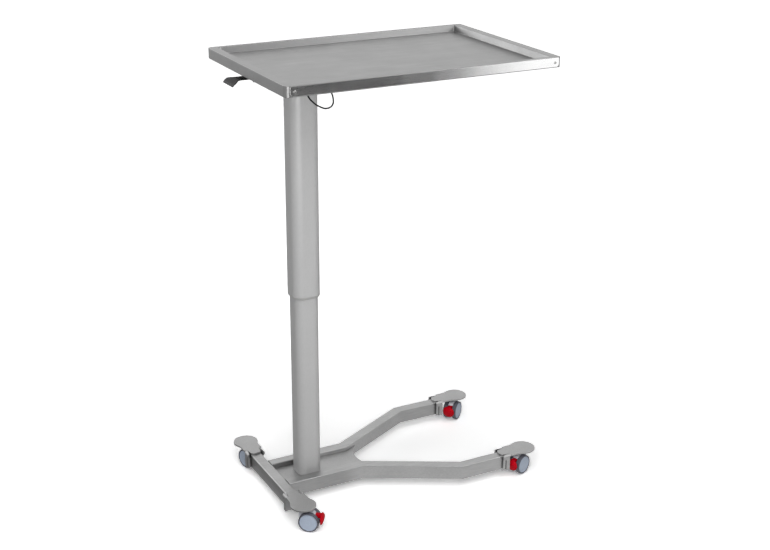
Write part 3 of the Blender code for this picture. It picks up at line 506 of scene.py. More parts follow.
@dataclass
class Tray:
    """The pan, its long-side strips and their screws."""

    corner: float = 0.012
    front_corner: float = 0.005
    sheet: float = 0.002
    depth: float = 0.017
    end_lip: float = 0.024
    side_lip: float = 0.010
    wall_run: float = 0.005
    fold: float = 0.0012
    strip_round: float = 0.008
    strip_edge: float = 0.0005
    strip_raise: float = 0.0012
    head_radius: float = 0.0034
    head_height: float = 0.0018
    socket_radius: float = 0.0018
    socket_rim: float = 1.15
    socket_depth: float = 0.7
    # Shares of the head's radius and height, from its root outwards and up.
    head_dome: Profile = ((0.5, 0.0), (1.0, 0.0), (1.0, 0.45), (0.86, 0.78), (0.62, 0.96))
    bend_angle: float = 40.0

    def build(self) -> None:
        """Build every piece of the tray."""
        self.build_pan()
        for side in Side:
            self.build_strip(side)
            for end in ("rear", "front"):
                self.build_screw(side, f"{side.label}_{end}_strip_screw")

    def build_pan(self) -> None:
        """Fold the pan from floor to lip to skirt."""
        low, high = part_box("tray_pan")

        def level(end: float, side: float, inside: float, z: float) -> Level:
            """One outline, set in from the pan's own, with corners this much tighter."""
            inset = Vector((end, side, 0))
            return Level(low + inset, high - inset, self.corner - inside, z, self.front_corner - inside)

        wall_end = self.end_lip + self.wall_run
        wall_side = self.side_lip + self.wall_run
        inner = self.sheet
        under = high.z - self.sheet
        bm = bmesh.new()
        stack(bm, [
            level(wall_end, wall_side, inner, high.z - self.depth),
            level(self.end_lip, self.side_lip, inner, high.z),
            level(0, 0, 0, high.z),
            level(0, 0, 0, low.z),
            level(self.sheet, self.sheet, inner, low.z),
            level(self.sheet, self.sheet, inner, under),
            level(self.end_lip - self.sheet, self.side_lip - self.sheet, inner, under),
            level(wall_end - self.sheet, wall_side - self.sheet, inner, high.z - self.depth - self.sheet),
        ], closed=False)
        soften(bm, creases(bm, self.bend_angle), self.fold)
        make_piece("tray_pan", bm, TRAY_STEEL, Body.LIFT.value)

    def build_strip(self, side: Side) -> None:
        """Cut one flat strip with round lower corners.

        Args:
            side: the long side that it covers.
        """
        node = side.label + "_edge_strip"
        low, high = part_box(node)
        top_round = self.strip_round / 3
        foot = low.z + self.strip_raise
        bm = block([
            (high.x, high.z, top_round), (low.x, high.z, top_round),
            (low.x, foot, self.strip_round), (high.x, foot, self.strip_round),
        ], high.y - low.y)
        soften(bm, creases(bm), self.strip_edge, 2)
        turn_mesh(bm, UPRIGHT, Matrix.Translation((0, high.y, 0)))
        make_piece(node, bm, STRIP_STEEL, Body.LIFT.value)

    def build_screw(self, side: Side, node: str) -> None:
        """Turn one domed screw head with a hexagon socket.

        Args:
            side: the long side that it is on.
            node: its CAD node.
        """
        low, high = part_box(node)
        root = self.head_dome[0][0] * self.head_radius
        bm = turned([
            (root, -self.head_height),
            *[(self.head_radius * out, self.head_height * up) for out, up in self.head_dome],
            (self.socket_radius * self.socket_rim, self.head_height),
        ], 24)
        rim = [edge for edge in bm.edges
               if edge.is_boundary and all(v.co.z > self.head_height - MERGE for v in edge.verts)]
        socket = bmesh.ops.create_circle(bm, segments=6, radius=self.socket_radius,
                                         matrix=Matrix.Translation((0, 0, self.head_height)))
        mouth = list({edge for vert in socket["verts"] for edge in vert.link_edges})
        bmesh.ops.bridge_loops(bm, edges=rim + mouth)
        sunk = bmesh.ops.extrude_edge_only(bm, edges=mouth)["geom"]
        floor = [item for item in sunk if isinstance(item, BMVert)]
        bmesh.ops.translate(bm, verts=floor, vec=(0, 0, -self.head_height * self.socket_depth))
        bmesh.ops.contextual_create(bm, geom=floor)
        centre = centre_of(node)
        outer = max(abs(low.y), abs(high.y)) - self.head_height
        turn_mesh(bm, Matrix.Rotation(math.radians(-90 * side.value), 4, "X"),
                  Matrix.Translation((centre.x, side.value * outer, centre.z)))
        make_piece(node, bm, SCREW_STEEL, Body.LIFT.value)


@dataclass
class Column:
    """The two square stages, their guide collar and the head plate."""

    upper_corner: float = 0.025
    lower_corner: float = 0.021
    wall: float = 0.003
    edge: float = 0.0008
    collar_taper: float = 0.0025
    collar_band: float = 0.002
    head_corner: float = 0.015
    corner_steps: int = 14
    taper_angle: float = 20.0

    def build(self) -> None:
        """Build every piece of the column that shows."""
        self.build_stage("upper_column", self.upper_corner, Body.LIFT)
        self.build_stage("lower_column", self.lower_corner, Body.BASE)
        self.build_collar()
        self.build_head_plate()

    def build_stage(self, node: str, corner: float, body: Body) -> None:
        """Draw one rounded-square tube.

        Args:
            node: its CAD node.
            corner: its outer corner radius.
            body: the body that it rides on.
        """
        low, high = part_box(node)
        inset = Vector((self.wall, self.wall, 0))
        bm = bmesh.new()
        inner = corner - self.wall
        stack(bm, [
            Level(low, high, corner, low.z),
            Level(low, high, corner, high.z),
            Level(low + inset, high - inset, inner, high.z),
            Level(low + inset, high - inset, inner, low.z),
        ], closed=True, segments=self.corner_steps)
        soften(bm, creases(bm), self.edge)
        make_piece(node, bm, COLUMN_METAL, body.value)

    def build_collar(self) -> None:
        """Mould the guide ring under the upper stage."""
        low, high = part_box("lower_guide_collar")
        stage_low, stage_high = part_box("upper_column")
        bore_low, bore_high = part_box("lower_column")
        top = stage_low.z - GAP
        taper = Vector((self.collar_taper, self.collar_taper, 0))
        play = Vector((GAP, GAP, 0))
        wall = Vector((self.wall, self.wall, 0)) + play
        bore = (bore_low - play, bore_high + play, self.lower_corner)
        sleeve = (stage_low + wall, stage_high - wall, self.upper_corner - self.wall)
        lip = (stage_low, stage_high, self.upper_corner)
        bm = bmesh.new()
        stack(bm, [
            Level(*bore, low.z),
            Level(stage_low + taper, stage_high - taper, self.upper_corner - self.collar_taper, low.z),
            Level(*lip, top - self.collar_band),
            Level(*lip, top),
            Level(*sleeve, top),
            Level(*sleeve, high.z),
            Level(*bore, high.z),
        ], closed=True, segments=self.corner_steps)
        soften(bm, creases(bm, self.taper_angle), self.edge / 2)
        make_piece("lower_guide_collar", bm, GREY_PLASTIC, Body.LIFT.value)

    def build_head_plate(self) -> None:
        """Cut the plate between column and tray."""
        low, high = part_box("column_head_plate")
        bm = block(rectangle(low, high, self.head_corner), high.z - low.z, low.z)
        soften(bm, creases(bm), self.edge)
        make_piece("column_head_plate", bm, PLATE_STEEL, Body.LIFT.value)


@dataclass
class Base:
    """Cross tube, two bent legs and the column's plate between them."""

    column_x: float
    tube_width: float = 0.030
    tube_round: float = 0.003
    cross_back: float = 0.0997
    leg_inner_y: float = 0.0596
    leg_outer_y: float = 0.189
    first_bend_x: float = 0.138
    second_bend_x: float = 0.382
    swivel_x: float = 0.580
    tube_reach: float = 0.0615
    plate_front_x: float = 0.152
    plate_horn_x: float = 0.183
    edge: float = 0.0008

    def build(self) -> None:
        """Build every fixed piece of the base."""
        self.build_cross_tube()
        for side in Side:
            self.build_leg(side)
        self.build_plate()

    def grind_tube(self, node: str, outline: Sequence[Point], ends: Sequence[int]) -> None:
        """Raise a tube from its plan and round its long edges.

        Args:
            node: its CAD node.
            outline: the plan, counter-clockwise.
            ends: places in the outline where a cut end starts.
        """
        low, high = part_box(node)
        bm = block(outline, high.z - low.z, low.z)
        spots = [Vector(point[:2]) for point in outline]
        cuts = [(spots[i], spots[(i + 1) % len(spots)]) for i in ends]

        def is_long(edge: BMEdge) -> bool:
            """Tell whether an edge runs level along the tube.

            Args:
                edge: the edge.

            Returns:
                False for an upright edge and for one across a cut end.
            """
            first, second = (vert.co for vert in edge.verts)
            if abs(first.z - second.z) > MERGE:
                return False
            pair = (first.xy, second.xy)
            return not any(
                all(min((spot - end).length for end in cut) < GAP for spot in pair) for cut in cuts)

        soften(bm, [edge for edge in bm.edges if is_long(edge)], self.tube_round, 4)
        make_piece(node, bm, TUBE_STEEL, Body.BASE.value)

    def build_cross_tube(self) -> None:
        """Build the tube across the back."""
        low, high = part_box("rear_cross_tube")
        outline = [(high.x, high.y), (low.x, high.y), (low.x, low.y), (high.x, low.y)]
        self.grind_tube("rear_cross_tube", outline, (0, 2))

    def leg_side(self, side: Side, offset: float) -> list[Vector]:
        """One side line of a leg, with mitred bends.

        Args:
            side: which leg.
            offset: distance from the leg's centre line, outwards.

        Returns:
            Its points from the cross tube to the caster.
        """
        start = -self.cross_back + self.tube_width / 2 + GAP
        end = self.swivel_x - self.tube_reach
        bend = math.atan2(self.leg_outer_y - self.leg_inner_y, self.second_bend_x - self.first_bend_x)
        shift = offset * math.tan(bend / 2)
        line = [
            (start, self.leg_inner_y + offset),
            (self.first_bend_x - shift, self.leg_inner_y + offset),
            (self.second_bend_x - shift, self.leg_outer_y + offset),
            (end, self.leg_outer_y + offset),
        ]
        return [Vector((self.column_x + x, side.value * y)) for x, y in line]

    def build_leg(self, side: Side) -> None:
        """Build one bent leg.

        Args:
            side: which leg.
        """
        outer = self.leg_side(side, self.tube_width / 2)
        inner = self.leg_side(side, -self.tube_width / 2)
        outline = outer + inner[::-1]
        self.grind_tube(side.label + "_leg_tube", outline, (len(outer) - 1, len(outline) - 1))

    def build_plate(self) -> None:
        """Cut the plate between the legs, with its scooped front edge."""
        low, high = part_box("column_base_plate")
        edge = self.leg_side(Side.RIGHT, -self.tube_width / 2 - GAP)
        start, bend, far = edge[:3]
        horn_x = self.column_x + self.plate_horn_x
        horn = bend.lerp(far, (horn_x - bend.x) / (far.x - bend.x))
        scoop = self.plate_horn_x - self.plate_front_x
        radius = (horn.y ** 2 + scoop ** 2) / (2 * scoop)
        sweep = math.degrees(math.asin(-horn.y / radius))
        front = arc((self.column_x + self.plate_front_x + radius, 0), radius, 180 + sweep, 180 - sweep, 24)
        outline = [tuple(start), tuple(bend), *front, (bend.x, -bend.y), (start.x, -start.y)]
        bm = block(outline, high.z - low.z, low.z)
        soften(bm, creases(bm), self.edge)
        make_piece("column_base_plate", bm, PLATE_STEEL, Body.BASE.value)


@dataclass
class Bracket:
    """One caster bracket about its swivel axis, reaching along -X over the tube's end."""

    corner: Corner
    swivel: Vector
    turn: float
    sheet: float = 0.005
    radius: float = 0.034
    fillet: float = 0.030
    tongue: float = 0.079
    tongue_corner: tuple[float, float] = (0.0745, 0.0143)
    notch: float = 0.052
    tube_reach: float = 0.0615
    slit: float = 0.018
    ear_bend: float = 0.003
    ear_front: float = 0.057
    ear_back: float = 0.068
    web: float = 0.003
    tube_half: float = 0.015
    bead: float = 0.0045
    bead_back: float = 0.0715
    shoulder_back: float = 0.077
    shoulder_depth: float = 0.009
    slit_width: float = 0.0022
    boss_radius: float = 0.014
    boss_depth: float = 0.003
    bore: float = 0.0056
    edge: float = 0.0006

    @property
    def ear_inner(self) -> float:
        """Inner face of an ear from the centre line."""
        return self.slit + self.ear_bend

    @property
    def ear_outer(self) -> float:
        """Outer face of an ear from the centre line."""
        return self.ear_inner + self.sheet

    def build(self) -> None:
        """Build the bracket in place."""
        node = self.corner.value + "_caster_bracket"
        low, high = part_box(node)
        under = high.z - self.sheet
        bm = self.cut_plate(under)
        for side in Side:
            join(bm, self.fold_ear(side, low.z, under))
            join(bm, self.lay_bead(side, low.z, under))
        join(bm, self.close_end(low.z, under))
        join(bm, self.turn_boss(under))
        turn_mesh(bm, Matrix.Rotation(math.radians(self.turn), 4, "Z"), Matrix.Translation(self.swivel))
        make_piece(node, bm, PLATE_STEEL, Body.BASE.value)

    def half_outline(self) -> list[tuple[float, float]]:
        """Draw the plate's outline on the -Y side.

        Returns:
            Its points from the middle of the tongue's end to the nose.
        """
        fillet_y = self.ear_outer + self.fillet
        fillet_x = -math.sqrt((self.radius + self.fillet) ** 2 - fillet_y ** 2)
        turn = math.degrees(math.atan2(fillet_y, -fillet_x))
        corner_x, corner_y = self.tongue_corner
        bulge = self.tongue - corner_x
        round_end = (corner_y ** 2 + bulge ** 2) / (2 * bulge)
        sweep = math.degrees(math.asin(corner_y / round_end))
        return [
            *arc((round_end - self.tongue, 0), round_end, 180, 180 + sweep, 8),
            (-self.notch, -self.slit),
            (-self.notch, -self.ear_outer),
            *arc((fillet_x, -fillet_y), self.fillet, 90, turn, 10),
        ]

    def cut_plate(self, under: float) -> BMesh:
        """Cut the plate with its tongue, fillets and round nose.

        Args:
            under: height of the plate's underside.

        Returns:
            The plate's mesh.
        """
        half = self.half_outline()
        tip = half[-1]
        start = math.degrees(math.atan2(tip[1], tip[0]))
        nose = arc((0, 0), self.radius, start, -start, 48)
        bm = block(half + nose[1:-1] + [(x, -y) for x, y in reversed(half[1:])], self.sheet, under)
        soften(bm, level_edges(bm), self.edge)
        return bm

    def fold_ear(self, side: Side, low: float, under: float) -> BMesh:
        """Fold one ear down beside the tube, with its root in the plate.

        Args:
            side: which ear.
            low: height of the ear's lower edge.
            under: height of the plate's underside.

        Returns:
            The ear's mesh.
        """
        outer = self.sheet + self.ear_bend
        centre = (self.slit, under + self.sheet - outer)
        ear = [(self.ear_inner, low), (self.ear_outer, low), *arc(centre, outer, 0, 90, 10),
               *arc(centre, self.ear_bend, 90, 0, 6)]
        bm = self.bar(side, ear, -self.ear_back, -self.ear_front)
        rise = math.degrees(math.asin(self.ear_bend / outer))
        root = [(self.slit, under), *arc(centre, outer, rise, 90, 8)]
        join(bm, self.bar(side, root, -self.ear_front, -self.notch + self.web))
        lean = math.degrees(math.acos(self.slit_width / outer))
        inner = math.degrees(math.acos(self.slit_width / self.ear_bend))
        step = under - self.shoulder_depth
        shoulder = [(self.ear_inner, step), (self.ear_outer, step), *arc(centre, outer, 0, lean, 8),
                    *arc(centre, self.ear_bend, inner, 0, 4)]
        join(bm, self.bar(side, shoulder, -self.shoulder_back, -self.ear_back + self.edge))
        return bm

    def bar(self, side: Side, outline: Sequence[Point], back: float, front: float) -> BMesh:
        """Extrude a cross-section along the bracket.

        Args:
            side: the side that the section lies on.
            outline: its points across and up.
            back: where it starts along X.
            front: where it ends along X.

        Returns:
            The bar's mesh.
        """
        bm = block([(side.value * y, z) for y, z in outline], front - back)
        soften(bm, creases(bm), self.edge, 2)
        turn_mesh(bm, ALONG_X, Matrix.Translation((back, 0, 0)))
        return bm

    def lay_bead(self, side: Side, low: float, under: float) -> BMesh:
        """Lay the upright bead that joins an ear's back to the tube.

        Args:
            side: the ear's side.
            low: height of the ear's lower edge.
            under: height of the plate's underside.

        Returns:
            The bead's mesh.
        """
        bm = rod(self.bead, low + GAP, under - self.shoulder_depth + GAP, 24, self.edge * 2, 3)
        across = side.value * (self.tube_half + GAP + self.bead)
        turn_mesh(bm, Matrix.Translation((-self.bead_back, across, 0)))
        return bm

    def close_end(self, low: float, under: float) -> BMesh:
        """Close the tube's end with a flat web.

        Args:
            low: height of the ears' lower edges.
            under: height of the plate's underside.

        Returns:
            The web's mesh.
        """
        half = self.ear_inner + self.sheet / 2
        corners = rectangle((-half, low + GAP), (half, under + self.edge), self.web)
        bm = block(corners, self.web, segments=4)
        soften(bm, creases(bm), self.edge, 2)
        turn_mesh(bm, ALONG_X, Matrix.Translation((-self.tube_reach + GAP, 0, 0)))
        return bm

    def turn_boss(self, under: float) -> BMesh:
        """Turn the swivel socket under the plate.

        Args:
            under: height of the plate's underside.

        Returns:
            The socket's mesh.
        """
        low = under - self.boss_depth
        top = under + self.edge
        ring = [(self.bore, low), (self.boss_radius, low), (self.boss_radius, top), (self.bore, top)]
        return turned(ring, 48, self.edge / 2, closed=True)


@dataclass
class Caster:
    """A twin-wheel caster with its housing, axle and brake pedal."""

    corner: Corner
    swivel: Vector
    heading: float
    wheel_radius: float = 0.0275
    tyre_width: float = 0.012
    tyre_wall: float = 0.004
    shoulder: float = 0.0022
    crown: float = 0.0003
    disc_set_in: float = 0.0006
    disc_edge: float = 0.0005
    # Shares of the rim's radius, with the depth below the disc's face.
    disc_relief: Profile = (
        (1.0, 0.0), (0.94, 0.0), (0.90, 0.0010), (0.60, 0.0004), (0.30, 0.0001), (0.27, 0.0007),
        (0.23, 0.0007), (0.20, 0.0001), (0.0, 0.0))
    relief_angle: float = 15.0
    bore_share: float = 0.7
    housing_width: float = 0.014
    housing_radius: float = 0.024
    hub_gap: float = 0.0012
    trail: float = 0.017
    collar_radius: float = 0.011
    stem_radius: float = 0.0052
    boss_under: float = 0.0080
    axle_radius: float = 0.003
    axle_edge: float = 0.0004
    axle_share: float = 0.66
    play: float = 0.0004
    pivot: tuple[float, float] = (0.034, 0.042)
    knuckle: float = 0.005
    pedal_face: float = 0.0475
    pedal_tip: float = 0.0565
    shoe_width: float = 0.036
    shoe_height: float = 0.034
    shoe_middle: float = 0.033
    # Shares of the shoe's width and height, with shares of its depth.
    shoe_dome: Profile = (
        (0.0, 0.0), (0.41, 0.0), (0.45, 0.03), (0.48, 0.10), (0.50, 0.20), (0.498, 0.33), (0.477, 0.50),
        (0.437, 0.66), (0.380, 0.80), (0.30, 0.91), (0.21, 0.97), (0.11, 1.0), (0.0, 1.0))
    ridge: float = 0.005
    fall_above: float = 0.3
    fall_below: float = 0.5
    arm_height: float = 0.009
    arm_root: float = 0.003

    def build(self) -> None:
        """Build every piece of the caster."""
        self.build_housing()
        self.build_axle()
        self.build_pedal()
        for side in Side:
            self.build_wheel(side)

    def set_down(self, bm: BMesh) -> None:
        """Move a mesh from the caster's own axes to its place."""
        turn_mesh(bm, Matrix.Rotation(math.radians(self.heading), 4, "Z"), Matrix.Translation(self.swivel))

    def on_hub(self, bm: BMesh, side: Side) -> None:
        """Stand a turned mesh on the axle, facing outwards.

        Args:
            bm: the mesh.
            side: which wheel of the pair it is part of.
        """
        offset = side.value * (self.housing_width / 2 + self.hub_gap)
        turn_mesh(bm, Matrix.Rotation(math.radians(-90 * side.value), 4, "X"),
                  Matrix.Translation((self.trail, offset, self.wheel_radius)))
        self.set_down(bm)

    def build_wheel(self, side: Side) -> None:
        """Turn one wheel's tread and centre.

        Args:
            side: which wheel of the pair.
        """
        prefix = f"{self.corner.value}_{side.label}"
        body = prefix + "_wheel"
        inner = self.wheel_radius - self.tyre_wall
        width = self.tyre_width
        crown = self.wheel_radius - self.crown
        tread = turned([
            (inner, 0), (crown, 0), (self.wheel_radius, width / 2), (crown, width), (inner, width),
        ], 72, self.shoulder, 4, closed=True)
        self.on_hub(tread, side)
        make_piece(prefix + "_tyre", tread, TREAD_RUBBER, body)

        rim = inner - GAP
        face = width - self.disc_set_in
        bore = self.axle_radius + self.play
        blind = width * self.bore_share
        disc = turned([
            (0, blind), (bore, blind), (bore, 0), (rim, 0),
            *[(rim * share, face - sunk) for share, sunk in self.disc_relief],
        ], 72, self.disc_edge, sharp=self.relief_angle)
        self.on_hub(disc, side)
        make_piece(prefix + "_disc", disc, DISC_PLASTIC, body)

    def build_axle(self) -> None:
        """Turn the axle between the wheels' caps."""
        half = self.housing_width / 2 + self.hub_gap + self.tyre_width * self.axle_share
        bm = rod(self.axle_radius, -half, half, 24, self.axle_edge)
        turn_mesh(bm, ALONG_Y, Matrix.Translation((self.trail, 0, self.wheel_radius)))
        self.set_down(bm)
        name = self.corner.value + "_caster"
        make_piece(name + "_axle", bm, SCREW_STEEL, name)

    def build_housing(self) -> None:
        """Mould the body between the wheels, with its swivel collar."""
        node = self.corner.value + "_caster_housing"
        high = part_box(node)[1]
        top = 2 * self.wheel_radius + self.hub_gap
        pivot_x, pivot_z = self.pivot
        seat = self.knuckle + self.play
        outline = [
            (-self.collar_radius, top),
            (-self.collar_radius, self.wheel_radius),
            *arc((self.trail, self.wheel_radius), self.housing_radius, 180, 300, 28),
            (pivot_x - self.knuckle, pivot_z - 2 * seat),
            *arc(self.pivot, seat, 260, 100, 14),
            (pivot_x - seat, pivot_z + 2 * seat),
            (self.trail, top - self.hub_gap),
            (self.collar_radius, top),
        ]
        bm = block(outline, self.housing_width)
        soften(bm, level_edges(bm), self.hub_gap / 2, 2)
        turn_mesh(bm, UPRIGHT, Matrix.Translation((0, self.housing_width / 2, 0)))
        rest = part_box(self.corner.value + "_caster_bracket")[1].z - self.boss_under - self.play
        foot = top - self.hub_gap
        collar = turned([
            (0, foot), (self.collar_radius, foot), (self.collar_radius, rest), (self.stem_radius, rest),
            (self.stem_radius, high.z), (0, high.z),
        ], 40, self.play)
        join(bm, collar)
        self.set_down(bm)
        make_piece(node, bm, HOUSING_PLASTIC, self.corner.value + "_caster")

    def build_pedal(self) -> None:
        """Mould the brake pedal: an arm between the wheels and a domed oval shoe before them."""
        pivot_x, pivot_z = self.pivot
        face = self.pedal_face - pivot_x
        depth = self.pedal_tip - self.pedal_face
        bm = turned([(radius, share * depth) for radius, share in self.shoe_dome], 56)
        bmesh.ops.scale(bm, vec=(self.shoe_width, self.shoe_height, 1), verts=bm.verts)
        half = self.shoe_height / 2
        for vert in bm.verts:
            off = vert.co.y - self.ridge
            above = self.fall_above * off / (half - self.ridge)
            below = -self.fall_below * off / (half + self.ridge)
            vert.co.z *= 1 - (above if off > 0 else below)
        turn_mesh(bm, ALONG_X, Matrix.Translation((face, 0, self.shoe_middle - pivot_z)))
        reach = face + self.arm_root
        root = self.arm_height / 2
        width = self.housing_width - 4 * GAP
        arm = block([
            (-self.knuckle, -root, root), (reach, -root), (reach, root), (-self.knuckle, root, root),
        ], width, segments=5)
        soften(arm, level_edges(arm), self.arm_root / 6, 4)
        turn_mesh(arm, UPRIGHT, Matrix.Translation((0, width / 2, 0)))
        join(bm, arm)
        turn_mesh(bm, Matrix.Translation((pivot_x, 0, pivot_z)))
        self.set_down(bm)
        make_piece(self.corner.value + "_brake_pedal", bm, RED_PLASTIC, self.corner.value + "_brake")


@dataclass
class Release:
    """The lever under the tray, its bracket and pin, and the cable to the column's head."""

    column_x: float
    pin: Vector
    lip_height: float
    arm_half: float = 0.016
    pad_half: float = 0.033
    reach: float = 0.068
    thickness: float = 0.005
    taper: float = 0.4
    edge_share: float = 0.8
    # Share of the reach, rise of the middle, and share of the spread from arm to pad.
    stations: tuple[tuple[float, float, float], ...] = (
        (0.00, 0.0000, 0.0), (0.30, 0.0010, 0.0), (0.60, 0.0010, 0.0), (0.70, 0.0006, 0.18),
        (0.78, -0.0006, 0.62), (0.86, -0.0024, 0.95), (0.93, -0.0055, 1.0), (1.00, -0.0105, 0.97))
    crease: float = 50.0
    hub_radius: float = 0.006
    hub_edge: float = 0.0008
    cable_radius: float = 0.002
    cable_length: float = 0.3421
    lead: float = 0.010
    yoke_sheet: float = 0.003
    flange: float = 0.003
    flange_radius: float = 0.006
    sleeve: float = 0.012
    sleeve_radius: float = 0.004
    mouth_radius: float = 0.0026
    shank_radius: float = 0.0032
    ribs: int = 4
    # Shares of a rib's pitch, with the depth of its groove.
    rib: Profile = ((0.0, 0.0), (0.6, 0.0), (0.65, 0.0005), (0.95, 0.0005))
    rib_edge: float = 0.0002

    def build(self) -> None:
        """Build every piece of the release."""
        self.build_cable()
        self.build_lever()
        self.build_yoke()
        self.build_pin()
        for node in ("lever_cable_ferrule", "head_cable_ferrule"):
            self.build_ferrule(node)

    def build_lever(self) -> None:
        """Loft the paddle from its hub to its curled tip."""
        levels = []
        for share, rise, spread in self.stations:
            half = self.arm_half + spread * (self.pad_half - self.arm_half)
            thick = self.thickness * (1 - self.taper * share) / 2
            levels.append(Level((-half, rise - thick), (half, rise + thick), thick * self.edge_share,
                                -share * self.reach))
        bm = bmesh.new()
        stack(bm, levels, closed=False, segments=4)
        turn_mesh(bm, ALONG_X)
        hub = rod(self.hub_radius, -self.arm_half, self.arm_half, 40, self.hub_edge)
        turn_mesh(hub, ALONG_Y)
        join(bm, hub)
        turn_mesh(bm, Matrix.Translation(self.pin))
        make_piece("release_lever", bm, BLACK_PLASTIC, Body.LEVER.value, self.crease)

    def build_cable(self) -> None:
        """Run the cable from the lever's ferrule down in a loop and into the column."""
        route = [
            (-0.088, -0.032, -0.040), (-0.071, -0.056, -0.040), (-0.040, -0.066, -0.039),
            (0.000, -0.069, -0.039), (0.028, -0.072, -0.046), (0.044, -0.078, -0.063),
            (0.050, -0.084, -0.083), (0.045, -0.090, -0.098), (0.030, -0.092, -0.104),
            (0.011, -0.092, -0.098), (-0.007, -0.090, -0.085), (-0.017, -0.083, -0.069),
        ]
        points = [Vector((self.column_x + x, y, self.lip_height + z)) for x, y, z in route]
        start = self.ferrule_end("lever_cable_ferrule")
        end = self.ferrule_end("head_cable_ferrule")
        lead = Vector((0, self.lead, 0))
        points = [start, start - lead, *points, end - lead, end]
        curve = bpy.data.curves.new("release_cable_piece", "CURVE")
        curve.dimensions = "3D"
        curve.bevel_depth = self.cable_radius
        curve.bevel_resolution = 6
        curve.resolution_u = 12
        curve.use_fill_caps = True
        spline = curve.splines.new("BEZIER")
        spline.bezier_points.add(len(points) - 1)
        for knot, point in zip(spline.bezier_points, points):
            knot.co = point
            knot.handle_left_type = "AUTO"
            knot.handle_right_type = "AUTO"
        curve.materials.append(BLACK_PLASTIC.material())
        cable = bpy.data.objects.new("release_cable_piece", curve)
        bpy.context.scene.collection.objects.link(cable)
        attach(cable, Body.LIFT.value)
        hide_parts("release_cable")
        LOG.info("%s: a cord of %.4f m on %s", cable.name, self.cable_length, Body.LIFT.value)

    def build_yoke(self) -> None:
        """Fold the lever's bracket: two cheeks under a top plate."""
        low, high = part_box("lever_bracket")
        sheet = self.yoke_sheet
        bend = 1.4 * sheet
        bm = block([
            (low.y, low.z, sheet / 3), (low.y + sheet, low.z, sheet / 3),
            (low.y + sheet, high.z - sheet, bend - sheet), (high.y - sheet, high.z - sheet, bend - sheet),
            (high.y - sheet, low.z, sheet / 3), (high.y, low.z, sheet / 3),
            (high.y, high.z, bend), (low.y, high.z, bend),
        ], high.x - low.x, segments=5)
        soften(bm, level_edges(bm), sheet / 6, 2)
        turn_mesh(bm, ALONG_X, Matrix.Translation((low.x, 0, 0)))
        make_piece("lever_bracket", bm, BLACK_STEEL, Body.LIFT.value)

    def build_pin(self) -> None:
        """Turn the pin that the lever swings on."""
        low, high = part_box("lever_pin")
        radius = (high.z - low.z) / 2
        half = (high.y - low.y) / 2
        bm = rod(radius, -half, half, 24, radius / 5)
        turn_mesh(bm, ALONG_Y, Matrix.Translation(centre_of("lever_pin")))
        make_piece("lever_pin", bm, SCREW_STEEL, Body.LIFT.value)

    def build_ferrule(self, node: str) -> None:
        """Mould a cable end: a flange on its seat and a ribbed, tapered sleeve.

        Args:
            node: its CAD node, which faces -Y.
        """
        low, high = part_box(node)
        reach = self.flange + self.sleeve
        shank = high.y - low.y - reach
        profile = [(0, 0)]
        if shank > GAP:
            profile = [(0, -shank), (self.shank_radius, -shank), (self.shank_radius, 0)]
        profile += [(self.flange_radius, 0), (self.flange_radius, self.flange)]
        pitch = self.sleeve / self.ribs
        for i in range(self.ribs):
            radius = self.sleeve_radius - (self.sleeve_radius - self.mouth_radius) * i / self.ribs
            start = self.flange + self.sleeve * i / self.ribs
            profile += [(radius - sunk, start + share * pitch) for share, sunk in self.rib]
        profile += [(self.mouth_radius, reach), (0, reach)]
        bm = turned(profile, 32, self.rib_edge)
        centre = centre_of(node)
        turn_mesh(bm, UPRIGHT, Matrix.Translation((centre.x, low.y + reach, centre.z)))
        make_piece(node, bm, BLACK_PLASTIC, Body.LIFT.value)

    def ferrule_end(self, node: str) -> Vector:
        """Where the cable leaves a ferrule that faces -Y."""
        centre = centre_of(node)
        return Vector((centre.x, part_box(node)[0].y - GAP, centre.z))


@dataclass(frozen=True)
class Card:
    """A glowing card that only reflections see."""

    name: str
    spot: Point
    aim: Point
    size: tuple[float, float]
    shade: str = "#ffffff"
    strength: float = 1.0


def floor_card(name: str, x: float, y: float, size: tuple[float, float], shade: str) -> Card:
    """A card that lies just above the floor and faces up."""
    return Card(name, (x, y, MM), (x, y, 1.0), size, shade)


@dataclass(frozen=True)
class Softbox:
    """A lamp behind a white sheet, which metal reflects where it is mirrored."""

    name: str
    spot: Point
    aim: Point
    size: tuple[float, float]
    watts: float
    mirrored: bool


CARDS = (
    Card("front_card", (0.2, -3.4, 1.6), (0.2, 0.0, 1.6), (3.76, 3.2), "#444444"),
    Card("white_card", (3.0, -3.4, 1.6), (3.0, 0.0, 1.6), (1.84, 3.2), strength=1.4),
    Card("column_card", (-0.70, -1.35, 1.05), (-0.12, 0.0, 1.05), (0.9, 0.7), strength=3.2),
    Card("edge_card", (1.3, -1.5, 2.5), (0.1, -0.1, 0.1), (1.1, 1.1), strength=4.0),
    floor_card("left_floor_card", -1.85, 1.0, (3.0, 5.0), "#868686"),
    floor_card("corner_floor_card", -3.6, 5.75, (4.8, 4.5), "#dcdcdc"),
    floor_card("middle_floor_card", -0.235, 0.0, (0.23, 5.0), "#d8d8d8"),
    floor_card("right_floor_card", 0.315, -1.25, (0.87, 2.5), "#f4f4f4"),
    floor_card("back_floor_card", 0.315, 1.25, (0.87, 2.5), "#dadada"),
    floor_card("far_floor_card", 1.35, 0.2, (1.2, 1.8), "#7a7a7a"),
)
SOFTBOXES = (
    Softbox("front_softbox", (-0.70, -1.35, 1.05), (-0.12, 0.0, 1.05), (0.9, 0.7), 12.0, False),
    Softbox("left_softbox", (-1.9, 3.3, 1.9), (0.4, 0.0, 1.2), (1.6, 1.2), 12.0, True),
    Softbox("top_softbox", (0.2, -1.3, 2.7), (0.2, 0.0, 0.6), (1.5, 1.5), 8.0, True),
)


